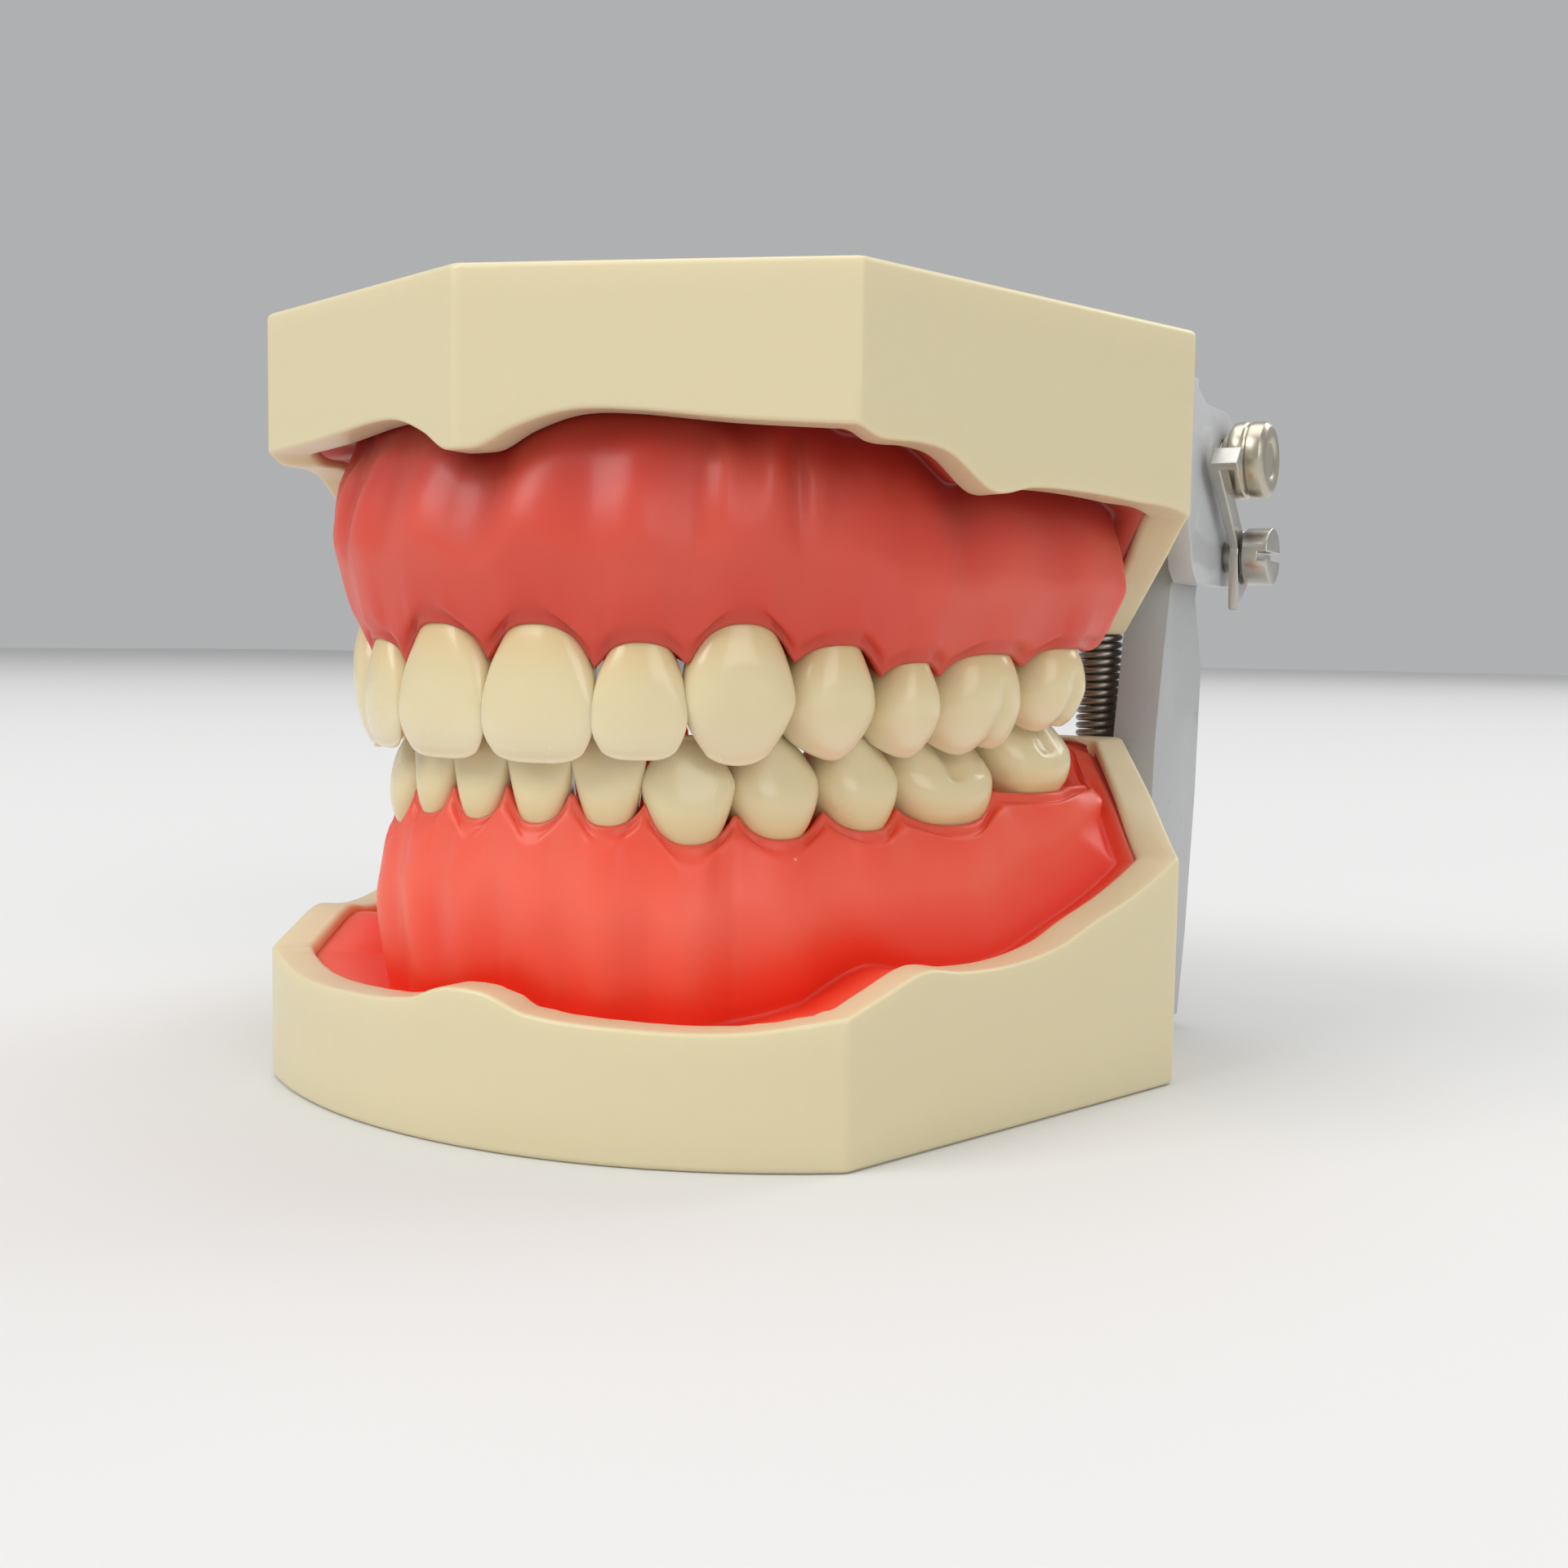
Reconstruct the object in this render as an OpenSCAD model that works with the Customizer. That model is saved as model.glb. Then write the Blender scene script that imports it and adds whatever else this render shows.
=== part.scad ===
// Typodont: two hinged jaws with screw-held teeth in soft gums, on a sprung rear frame.
// +Z is up, -Y is towards the front teeth and +X is the model's left side.
// The origin is on the lower base's bottom face, on the midline.
// Each jaw is drawn teeth up from its own base plate, and the upper one is turned over at the end.

/* [Jaws] */
// Height of the lower jaw from its bottom face to the biting plane
lower_h = 29.8; // [29:0.1:36]
// Height of the upper jaw from its top face to the biting plane
upper_h = 32.2; // [31.5:0.1:39]
// Half the gap that is left between the two rows of teeth
bite_gap = 0.15; // [0.1:0.05:0.4]
// How far the upper front teeth reach below the biting plane
overbite = 2.2; // [1.2:0.1:2.4]
// How far the lower arch lies inside the upper one
overjet = 2.6; // [2.5:0.05:3.2]

/* [Bases] */
// Half width of the bases at their widest corners
base_half_w = 38.4; // [37:0.1:47]
// Distance from the origin to the front point of the upper base
base_front = 28.4; // [28:0.1:34]
// Distance from the origin to the flat back face
base_back = 31; // [30.5:0.1:36]
// Half width of the flat back face
back_half_w = 29; // [28:0.1:33]
// Half distance between the two canine corners
canine_x = 26.6; // [25.5:0.1:29]
// Distance from the origin forwards to the canine corners
canine_y = 18.9; // [17.5:0.1:20]
// Distance from the origin back to the widest corners
corner_y = 18.2; // [16:0.1:21]
// Thickness of the rim around the gum
rim_wall = 3.2; // [2.4:0.1:3.4]
// Thickness of the plate under the gum
floor_t = 7; // [6:0.1:8.4]
// Half width of the opening for the tongue at the back
tongue_half_w = 16; // [13:0.1:19]
// Height of the back wall below the tongue opening
back_wall_h = 12; // [11:0.1:14]

/* [Teeth] */
// Clearance between pieces that are screwed or pushed together
fit_gap = 0.1; // [0.05:0.01:0.15]
// Height of the root sockets' ridge above the base plate of the lower jaw
lower_ridge_h = 16.5; // [15:0.1:18]
// Height of the root sockets' ridge above the base plate of the upper jaw
upper_ridge_h = 19.5; // [17.5:0.1:20.5]
// Depth of solid base below each root
root_floor = 2.4; // [1.5:0.1:3]
// Diameter of the tooth screws' shank
tooth_screw_d = 1.8; // [1.4:0.05:2.2]
// Diameter of the tooth screws' head
tooth_head_d = 3.8; // [3.2:0.05:4.6]
// Depth of the tooth screws' counterbore
tooth_head_depth = 3; // [2.4:0.1:3.6]

/* [Hinge] */
// Distance from the origin back to the hinge axis
hinge_y = 43.5; // [42:0.1:50]
// Distance from the top of the model down to the hinge axis
hinge_drop = 8; // [4:0.1:11]
// Diameter of the hinge rod
rod_d = 4; // [3.2:0.1:4.8]
// Clearance between the hinge rod and what turns on it
hinge_gap = 0.1; // [0.05:0.01:0.2]
// Radius of the rounded ears around the hinge rod
ear_r = 4.6; // [4:0.1:5.4]
// Diameter of the thumb knobs
knob_d = 7.2; // [6:0.1:8.6]
// Length of the thumb knobs
knob_len = 3.6; // [3:0.1:4.4]

/* [Frames] */
// Thickness of the plates behind the bases
plate_t = 3.2; // [2.6:0.1:3.4]
// Half distance between the lower posts' inner faces
post_in = 27.6; // [27.5:0.1:28.5]
// Width of each lower post
post_w = 4; // [3.2:0.1:4.8]
// Clearance between a post and the cheek that swings past it
cheek_gap = 0.3; // [0.2:0.05:0.5]
// Thickness of the upper frame's cheeks
cheek_t = 2.2; // [1.8:0.1:2.8]
// Diameter of the screws that hold the frames to the bases
frame_screw_d = 2.5; // [2:0.1:3]

/* [Latches] */
// Distance from the origin back to the latch pivots
latch_y = 45.4; // [44.8:0.1:46]
// Distance from the hinge axis down to the latch pivots
latch_drop = 8.9; // [8.4:0.1:9.4]
// Length of a latch lever from its pivot to its finger tab
latch_len = 13; // [11:0.1:14]
// Thickness of the latch levers
latch_t = 0.9; // [0.7:0.05:1.1]
// Diameter of the latch screws' head
latch_head_d = 5.4; // [4.6:0.1:6]

/* [Springs] */
// Half distance between the two springs
spring_x = 24.8; // [24:0.1:25]
// Outer diameter of the springs
spring_d = 4.2; // [3.6:0.1:4.6]
// Diameter of the spring wire
wire_d = 0.6; // [0.4:0.05:0.7]
// Height of the lower spring anchors
spring_low_z = 7; // [5.5:0.1:8]
// Distance from the top of the model down to the upper spring anchors
spring_high_drop = 9; // [6:0.1:10]

/* [Mount] */
// Radius of the hole in each brass mounting insert
insert_r = 1.65; // [1.25:0.05:2.1]
// Outer diameter of the mounting inserts
insert_d = 6; // [5.6:0.1:7.2]
// Length of the mounting inserts
insert_len = 5; // [4:0.1:5.6]
// Distance from the origin back to the mounting inserts
insert_y = 4; // [0:0.1:8]

/* [Hidden] */
UPPER = 0;
LOWER = 1;
model_h = lower_h + upper_h;
hinge_z = model_h - hinge_drop;
latch_z = hinge_z - latch_drop;
spring_high_z = model_h - spring_high_drop;
jaw_h = [upper_h, lower_h];
ridge_h = [upper_ridge_h, lower_ridge_h];
arch_inset = [0, overjet];
cream = "#E8DFBE";
gum_red = ["#C8503F", "#F0684E"];
tooth_ivory = "#EDE4C8";
paint_grey = ["#C9CBCC", "#B9BBBC"];
steel = "#A9A69B";
spring_steel = "#4A4843";
brass = "#B08D4A";

// Crown width, crown length, depth from cheek to tongue, root's centre behind the arch, root radius,
// and how far the crown stands above its row
upper_teeth = [[8.8, 9.8, 7.0, 3.4, 2.2, 0], [6.7, 8.2, 6.0, 3.3, 2.0, -0.4], [8.2, 10, 7.8, 3.8, 2.4, 0],
    [8.1, 8.6, 9.2, 4.5, 2.5, 0], [6.4, 7.4, 9.2, 4.5, 2.4, 0], [10.5, 8.1, 10.8, 5.2, 3.2, 0],
    [8.6, 7.0, 10.4, 5.1, 3.1, -1.6]];
lower_teeth = [[5.5, 6.5, 5.8, 3.1, 1.8, 0], [5.6, 6.5, 5.8, 3.0, 1.8, 0], [6.7, 7.8, 6.8, 3.4, 2.2, 0],
    [7.8, 7.6, 7.8, 3.9, 2.4, 0], [7.8, 7.3, 8.2, 4.1, 2.5, 0], [12.2, 7.4, 10.2, 4.9, 3.2, 0],
    [10.8, 6.8, 9.8, 4.8, 3.2, 1.4]];
teeth = [upper_teeth, lower_teeth];
tooth_names = ["central_incisor", "lateral_incisor", "canine", "first_premolar",
    "second_premolar", "first_molar", "second_molar"];
jaw_names = ["upper", "lower"];
side_names = ["right", "left"];
function width(j, i) = teeth[j][i][0];
function crown(j, i) = teeth[j][i][1];
function depth(j, i) = teeth[j][i][2];
function root_y(j, i) = teeth[j][i][3];
function root_r(j, i) = teeth[j][i][4];
function stand(j, i) = teeth[j][i][5];

// Rim heights above the base plate: share of the way along the front or the side, then height
front_rim = [
    [[0, 12.7], [0.06, 12.5], [0.15, 11.2], [0.28, 10.1], [0.42, 10], [0.72, 10.7], [1, 11.1]],
    [[0, 11.6], [0.08, 11.4], [0.2, 10.3], [0.45, 9.8], [0.75, 9.8], [1, 10.9]]];
side_rim = [
    [[0, 11.1], [0.04, 11.8], [0.12, 11.8], [0.18, 12.3], [0.27, 14.6], [0.36, 14], [0.46, 13.9],
        [0.6, 14.2], [0.74, 14.9], [0.84, 18.5], [1, 24.5]],
    [[0, 10.9], [0.06, 11.9], [0.15, 13.2], [0.23, 12.7], [0.34, 12.6], [0.45, 13.4],
        [0.53, 14.8], [0.64, 16.6], [0.75, 19.2], [0.87, 23.8], [1, 28.2]]];
outline_step = 0.02;

// Smooth curve through a list of points, read at x
function smooth(p, x) = let(
        i = max([0, for (k = [0:len(p) - 2]) if (x >= p[k][0]) k]),
        a = p[max(i - 1, 0)], b = p[i], c = p[i + 1], d = p[min(i + 2, len(p) - 1)],
        w = c[0] - b[0], t = min(max((x - b[0]) / w, 0), 1),
        m = (c[1] - a[1]) / (c[0] - a[0]) * w, n = (d[1] - b[1]) / (d[0] - b[0]) * w)
    (2 * t ^ 3 - 3 * t ^ 2 + 1) * b[1] + (t ^ 3 - 2 * t ^ 2 + t) * m
    + (3 * t ^ 2 - 2 * t ^ 3) * c[1] + (t ^ 3 - t ^ 2) * n;
function mix(a, b, t) = a + (b - a) * t;

// Plan outlines of the bases, anticlockwise
lower_front = base_front - 0.8;
front_arc_r = (canine_x ^ 2 + (lower_front - canine_y) ^ 2) / (2 * (lower_front - canine_y));
front_arc_half = asin(canine_x / front_arc_r);
function side_points(x) = [[canine_x, -canine_y], [base_half_w, corner_y], [back_half_w, base_back]];
function turned(p) = [for (i = [len(p) - 1:-1:0]) [-p[i][0], p[i][1]]];
function front_points(j) = j == UPPER ? [[0, -base_front]]
    : [for (k = [-5:5]) let(a = k / 6 * front_arc_half)
        [front_arc_r * sin(a), front_arc_r * (1 - cos(a)) - lower_front]];
function plan(j) = concat(front_points(j), side_points(1), turned(side_points(1)));

// The same outline moved inwards by d
function cross2(a, b) = a[0] * b[1] - a[1] * b[0];
function edge_out(a, b) = [b[1] - a[1], a[0] - b[0]] / norm(b - a);
function inset(p, d) = [for (i = [0:len(p) - 1]) let(
        a = p[(i + len(p) - 1) % len(p)], b = p[i], c = p[(i + 1) % len(p)],
        q = b - edge_out(a, b) * d, s = b - edge_out(b, c) * d)
    q + (b - a) * cross2(s - q, c - b) / cross2(b - a, c - b)];

// The arch: the line that the teeth's outer faces touch, moved towards the tongue by d
arch_front = 25.5;
arch_c2 = 0.01502;
arch_c4 = 0.00002635;
function arch_slope(x) = 2 * arch_c2 * x + 4 * arch_c4 * x ^ 3;
function arch(x, d) = [x, arch_c2 * x ^ 2 + arch_c4 * x ^ 4 - arch_front]
    + d * [-arch_slope(x), 1] / sqrt(1 + arch_slope(x) ^ 2);
function step_x(x, w, d, lo, hi, n = 24) = n == 0 ? (lo + hi) / 2
    : let(m = (lo + hi) / 2) norm(arch(m, d) - arch(x, d)) < w
    ? step_x(x, w, d, m, hi, n - 1) : step_x(x, w, d, lo, m, n - 1);
function contact(j, i) = i == 0 ? 0
    : let(x = contact(j, i - 1)) step_x(x, width(j, i - 1), arch_inset[j], x, x + 14);
contacts = [for (j = [UPPER, LOWER]) [for (i = [0:7]) contact(j, i)]];
function tooth_a(j, i) = arch(contacts[j][i], arch_inset[j]);
function tooth_b(j, i) = arch(contacts[j][i + 1], arch_inset[j]);
function tooth_mid(j, i) = (tooth_a(j, i) + tooth_b(j, i)) / 2;
function tooth_turn(j, i) = let(u = tooth_b(j, i) - tooth_a(j, i)) atan2(u[1], u[0]);
function root_centre(j, i) = tooth_mid(j, i)
    + root_y(j, i) * [-sin(tooth_turn(j, i)), cos(tooth_turn(j, i))];

// Heights above the jaw's own base plate
function is_front(i) = i < 3;
function tip(j, i) = stand(j, i) + (j == UPPER ? upper_h + overbite : lower_h - bite_gap);
function table(j, i) = jaw_h[j] - bite_gap + stand(j, i);
function margin(j, i) = tip(j, i) - crown(j, i);
root_bottom = floor_t + root_floor;

// A closed surface through rings of points, with a pole at each end
function loft_faces(rows, n) = concat(
    [for (k = [0:n - 1]) [rows * n, k, (k + 1) % n]],
    [for (r = [0:rows - 2], k = [0:n - 1], h = [0, 1]) let(
            a = r * n + k, b = r * n + (k + 1) % n)
        h == 0 ? [a, a + n, b] : [b, a + n, b + n]],
    [for (k = [0:n - 1]) [rows * n + 1, (rows - 1) * n + (k + 1) % n, (rows - 1) * n + k]]);
module loft(rings, low, high) polyhedron(
    points = concat([for (r = rings, p = r) p], [low, high]),
    faces = loft_faces(len(rings), len(rings[0])));

// One ring round a tooth: height, half width, half depth, centre, squareness, narrowing to the tongue
tooth_sides = 16;
function power(v, e) = sign(v) * pow(abs(v), 2 / e);
function tooth_ring(h, a, b, c, e, k) = [for (n = [0:tooth_sides - 1]) let(
        t = 360 * n / tooth_sides, y = power(sin(t), e))
    [a * power(cos(t), e) * (1 - k * y), c + b * y, h]];
function root_rings(j, i) = let(r = root_r(j, i), c = root_y(j, i)) [
    tooth_ring(root_bottom, 0.8 * r, 0.8 * r, c, 2, 0),
    tooth_ring(ridge_h[j], r, r, c, 2, 0)];
function front_crown(j, i) = let(w = width(j, i), l = crown(j, i), d = depth(j, i), t = tip(j, i)) [
    tooth_ring(t - l, 0.36 * w, 0.4 * d, 0.44 * d, 2, 0.28),
    tooth_ring(t - 0.8 * l, 0.4 * w, 0.42 * d, 0.4 * d, 2, 0.34),
    tooth_ring(t - 0.5 * l, 0.44 * w, 0.3 * d, 0.27 * d, 2.1, 0.3),
    tooth_ring(t - 0.22 * l, 0.462 * w, 0.17 * d, 0.17 * d, 2.6, 0.16),
    tooth_ring(t - 0.05 * l, 0.45 * w, 0.1 * d, 0.14 * d, 2.6, 0.05),
    tooth_ring(t, i == 2 ? 0.2 * w : 0.42 * w, 0.05 * d, 0.14 * d, 2.4, 0)];
function cusp_drop(j, i, y) = j == UPPER ? (tip(j, i) - table(j, i)) * min(max(0.5 + 2.4 * y, 0), 1) : 0;
function table_ring(j, i, a, b, c, e) = [for (p = tooth_ring(tip(j, i), a, b, c, e, 0.08))
    [p[0], p[1], tip(j, i) - cusp_drop(j, i, (p[1] - c) / b + 0.45)]];
function back_crown(j, i) = let(w = width(j, i), l = crown(j, i), d = depth(j, i), t = tip(j, i),
        s = j == UPPER ? 0.46 : 0.5, lift = j == UPPER ? 0.5 * l : 0.42 * l, k = i == 3 || i == 4 ? 0.2 : 0.09) [
    tooth_ring(t - l, 0.4 * w, 0.42 * d, s * d, 2.2, k),
    tooth_ring(t - 0.72 * l, 0.435 * w, 0.48 * d, s * d, 2.4, k),
    tooth_ring(t - lift, 0.455 * w, 0.47 * d, s * d, 2.5, k),
    table_ring(j, i, 0.4 * w, (j == UPPER ? 0.36 : 0.33) * d, s * d, 2.6)];
function tooth_rings(j, i) = concat(root_rings(j, i), is_front(i) ? front_crown(j, i) : back_crown(j, i));
function tooth_top(j, i) = is_front(i) ? [0, 0.14 * depth(j, i), tip(j, i)]
    : [0, 0.5 * depth(j, i), table(j, i) - 1.1];

// A jaw is drawn from its base plate; the upper one is turned over
module jaw(j) {
    if (j == UPPER) translate([0, 0, model_h]) mirror([0, 0, 1]) children();
    else children();
}
module at_tooth(j, i, s) mirror([s == 0 ? 1 : 0, 0, 0])
    translate([tooth_mid(j, i)[0], tooth_mid(j, i)[1], 0]) rotate([0, 0, tooth_turn(j, i)]) children();
module at_teeth(j) for (s = [0, 1], i = [0:6]) at_tooth(j, i, s) children();
module both_sides() {
    children();
    mirror([1, 0, 0]) children();
}

// Length of the screw inside a root
root_hole = 4;
module tooth(j, i, s) color(tooth_ivory) jaw(j) at_tooth(j, i, s) difference() {
    loft(tooth_rings(j, i), [0, root_y(j, i), root_bottom], tooth_top(j, i));
    translate([0, root_y(j, i), root_bottom - 1])
        cylinder(d = tooth_screw_d + 2 * fit_gap, h = root_hole + 1, $fn = 24);
}
module tooth_screws(j) color(steel) jaw(j) for (s = [0, 1], i = [0:6]) at_tooth(j, i, s)
    translate([0, root_y(j, i), 0]) difference() {
        union() {
            translate([0, 0, head_seat]) cylinder(d = tooth_screw_d,
                h = root_bottom + root_hole - fit_gap - head_seat, $fn = 24);
            translate([0, 0, head_seat - head_h]) cylinder(d = tooth_head_d, h = head_h, $fn = 24);
        }
        translate([-tooth_head_d, -slot_w / 2, 0]) cube([2 * tooth_head_d, slot_w, head_seat - head_h / 2]);
    }
head_h = 1.6;
seat_gap = 0.04;
head_seat = tooth_head_depth - seat_gap;
slot_w = 0.7;

// Bases: the plan outline cut to the rim's height, with a pocket for the gum and a ridge of root sockets
function front_outline(j) = concat([[-canine_x - 1, 0]],
    [for (t = [-1:outline_step * 2:1.001]) [t * canine_x, smooth(front_rim[j], abs(t))]],
    [[canine_x + 1, 0]]);
function side_outline(j) = concat([[-canine_y, 0]],
    [for (t = [0:outline_step:1.001]) [mix(-canine_y, base_back, t), smooth(side_rim[j], t)]],
    [[base_back, 0]]);
function ridge_band(j, out, in) = let(e = contacts[j][7] + 0.6) concat(
    [for (t = [-1:1 / 24:1.001]) arch(t * e, arch_inset[j] + out)],
    [for (t = [1:-1 / 24:-1.001]) arch(t * e, arch_inset[j] + in)]);
ridge_out = 0.5;
ridge_in = 9.2;
module base_block(j) intersection() {
    linear_extrude(jaw_h[j]) polygon(plan(j));
    union() {
        translate([0, -canine_y, 0]) rotate([90, 0, 0]) linear_extrude(base_front)
            polygon(front_outline(j));
        translate([-base_half_w - 1, 0, 0]) rotate([90, 0, 90]) linear_extrude(2 * base_half_w + 2)
            polygon(side_outline(j));
    }
}
module base(j) color(cream) jaw(j) difference() {
    union() {
        difference() {
            base_block(j);
            translate([0, 0, floor_t]) linear_extrude(jaw_h[j]) polygon(inset(plan(j), rim_wall));
            translate([-tongue_half_w, corner_y, back_wall_h])
                cube([2 * tongue_half_w, base_back, jaw_h[j]]);
        }
        translate([0, 0, floor_t - 1]) linear_extrude(ridge_h[j] - floor_t + 1)
            polygon(ridge_band(j, ridge_out, ridge_in));
    }
    for (s = [0, 1], i = [0:6]) at_tooth(j, i, s) translate([0, root_y(j, i), 0]) {
        root_socket(j, i);
        translate([0, 0, -1]) cylinder(d = tooth_screw_d + 2 * fit_gap, h = root_bottom + 1, $fn = 24);
        translate([0, 0, -1]) cylinder(d = tooth_head_d + 4 * fit_gap, h = tooth_head_depth + 1, $fn = 24);
    }
    translate([0, insert_y, -1]) cylinder(d = insert_d + 2 * fit_gap, h = insert_len + fit_gap + 1, $fn = 48);
    at_frame_screws(j) frame_screw_hole(fit_gap);
}
module root_socket(j, i) let(r = root_r(j, i), z = root_bottom - fit_gap, h = ridge_h[j] - z)
    translate([0, 0, z]) cylinder(r1 = 0.8 * r + fit_gap, r2 = r + fit_gap + 0.2 * r / h, h = h + 1, $fn = 32);

// Gums: polar sections round a centre, from the plate up over the ridge and down to the tongue side
gum_y = 6;
gum_turns = 72;
function polar(phi, r) = [r * sin(phi), gum_y - r * cos(phi)];
function edge_reach(a, b, phi) = let(n = edge_out(a, b), c = n * [sin(phi), -cos(phi)])
    c > 0.001 ? n * (a - [0, gum_y]) / c : 1000;
function reach(p, phi) = min([for (i = [0:len(p) - 1]) edge_reach(p[i], p[(i + 1) % len(p)], phi)]);
function polar_angle(p) = atan2(p[0], gum_y - p[1]);
function arch_x(d, phi, lo = 0, hi = 36, n = 20) = n == 0 ? (lo + hi) / 2
    : let(m = (lo + hi) / 2) polar_angle(arch(m, d)) < phi
    ? arch_x(d, phi, m, hi, n - 1) : arch_x(d, phi, lo, m, n - 1);
function arch_r(d, phi) = norm(arch(arch_x(d, phi), d) - [0, gum_y]);
function rim_at(j, p) = p[1] < -canine_y ? smooth(front_rim[j], abs(p[0]) / canine_x)
    : smooth(side_rim[j], (p[1] + canine_y) / (base_back + canine_y));
papilla = 1.3;
pad_rise = [0.4, 1.6];
function margin_list(j) = concat(
    [for (i = [0:6], h = [0, 1]) h == 0
        ? [polar_angle(tooth_a(j, i)), mix(margin(j, max(i - 1, 0)), margin(j, i), 0.5) + papilla]
        : [polar_angle(tooth_mid(j, i)), margin(j, i)]],
    [[polar_angle(tooth_b(j, 6)) + 1, margin(j, 6) + pad_rise[j] / 2], [132, margin(j, 6) + pad_rise[j]],
        [138, margin(j, 6) + pad_rise[j]], [146, back_wall_h + 1], [180, back_wall_h - 1]]);
function depth_list(j) = concat(
    [for (i = [0:6]) [polar_angle(tooth_mid(j, i)), depth(j, i)]], [[140, depth(j, 6)], [180, 6]]);
margins = [for (j = [UPPER, LOWER]) margin_list(j)];
depths = [for (j = [UPPER, LOWER]) depth_list(j)];
walls = [for (j = [UPPER, LOWER]) inset(plan(j), rim_wall + fit_gap)];
palate_h = [13, 11];
gum_over = [1.4, 1];
back_turn = 105;
function gum_section(j, phi) = let(
        wall = reach(walls[j], phi), outer = reach(plan(j), phi),
        rim = phi > 144 ? back_wall_h : rim_at(j, polar(phi, outer)),
        arch_out = phi < back_turn ? arch_r(arch_inset[j], phi) : min(arch_r(arch_inset[j], phi), wall - 2.4),
        face = phi < back_turn ? arch_out + gum_over[j] : min(arch_out + gum_over[j], wall - 0.7),
        fold = min(face - 0.8, wall - 1.6),
        top = max(smooth(margins[j], phi), rim - 1), tongue = arch_out - smooth(depths[j], phi),
        low = palate_h[j])
    [[wall, floor_t], [wall, rim - 0.7], [mix(wall, fold, 0.4), rim - 0.8], [fold, rim - 1.1],
        [mix(fold, face, 0.55), mix(rim, top, 0.1)], [face, mix(rim, top, 0.4)],
        [face - 0.4, mix(rim, top, 0.75)], [arch_out + 0.2, top - 0.2], [arch_out - 0.7, top],
        [tongue + 1.2, top], [tongue - 0.2, top - 0.8], [tongue - 1.4, mix(low, top, 0.55)],
        [tongue - 2.6, mix(low, top, 0.15)], [0.7 * (tongue - 2.6), low]];
function gum_rings(j) = let(s = [for (k = [0:gum_turns - 1]) let(a = 360 * k / gum_turns)
        [a, gum_section(j, a > 180 ? 360 - a : a)]])
    [for (r = [0:len(s[0][1]) - 1]) [for (q = s) let(p = polar(q[0], q[1][r][0])) [p[0], p[1], q[1][r][1]]]];
module flat_ring(h, a, b, c) translate([0, c, h]) linear_extrude(0.02)
    polygon([for (k = [0:17]) [a * cos(20 * k), b * sin(20 * k)]]);
module tooth_opening(j, i) let(w = width(j, i), d = depth(j, i), r = root_r(j, i) + 2 * fit_gap,
        m = margin(j, i), s = is_front(i) ? 0.44 : (j == UPPER ? 0.46 : 0.5),
        a = (is_front(i) ? 0.41 : 0.45) * w + fit_gap, b = (is_front(i) ? 0.43 : 0.46) * d + fit_gap) {
    hull() {
        flat_ring(ridge_h[j] - 0.2, r, r, root_y(j, i));
        flat_ring(m, a, b, s * d);
    }
    hull() {
        flat_ring(m, a, b, s * d);
        flat_ring(m + 0.3 * crown(j, i), 0.51 * w, 0.53 * d, s * d);
        flat_ring(m + 8, 0.51 * w, 0.53 * d, s * d);
    }
}
module gum(j) color(gum_red[j]) jaw(j) difference() {
    loft(gum_rings(j), [0, gum_y, floor_t], [0, gum_y, palate_h[j]]);
    translate([0, 0, floor_t - 1]) linear_extrude(ridge_h[j] - floor_t + 1 + fit_gap)
        polygon(ridge_band(j, ridge_out - fit_gap, ridge_in + fit_gap));
    for (s = [0, 1], i = [0:6]) at_tooth(j, i, s) tooth_opening(j, i);
}

// Screws from the frames' plates into the back of the bases
frame_screw_x = [10, 22];
frame_screw_h = 4.2;
frame_screw_len = 7;
frame_head_h = 1.8;
module at_frame_screws(j) for (x = frame_screw_x, s = [-1, 1])
    translate([s * x, base_back, frame_screw_h]) rotate([-90, 0, 0]) children();
module frame_screw_hole(gap) translate([0, 0, -frame_screw_len - gap])
    cylinder(d = frame_screw_d + 2 * gap, h = frame_screw_len + plate_t + 2 * gap + 1, $fn = 24);
module frame_screws(j) color(steel) jaw(j) at_frame_screws(j) difference() {
    union() {
        translate([0, 0, -frame_screw_len]) cylinder(d = frame_screw_d, h = frame_screw_len + plate_t, $fn = 24);
        translate([0, 0, plate_t]) cylinder(d = 1.8 * frame_screw_d, h = frame_head_h, $fn = 32);
    }
    translate([-frame_screw_d, -slot_w / 2, plate_t + frame_head_h / 2])
        cube([2 * frame_screw_d, slot_w, frame_head_h]);
}

// Frames: a plate behind each base, with posts on the lower one and cheeks on the upper one
post_out = post_in + post_w;
cheek_in = post_out + cheek_gap;
cheek_out = cheek_in + cheek_t;
plate_low = 1;
plate_back = base_back + plate_t;
rod_bore_r = rod_d / 2 + hinge_gap;
lower_plate_h = 10;
upper_plate_low = model_h - back_wall_h + 0.5;
upper_plate_high = model_h - 1.5;
function arc_points(y, z, r, a, b, n) = [for (k = [0:n]) let(t = mix(a, b, k / n)) [y + r * cos(t), z + r * sin(t)]];
post_outline = concat(
    [[base_back, plate_low], [base_back + 0.2, 13], [base_back + 1.6, 28], [base_back + 3.4, 36],
        [hinge_y - 6.4, 46]],
    arc_points(hinge_y, hinge_z, ear_r, 200, 0, 16),
    [[hinge_y + 1.4, 43.5], [hinge_y + 0.6, 41], [hinge_y + 3.4, 34.5], [hinge_y + 2.6, 22],
        [hinge_y + 0.8, 9], [hinge_y - 1, plate_low]]);
cheek_low = 42.3;
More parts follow.
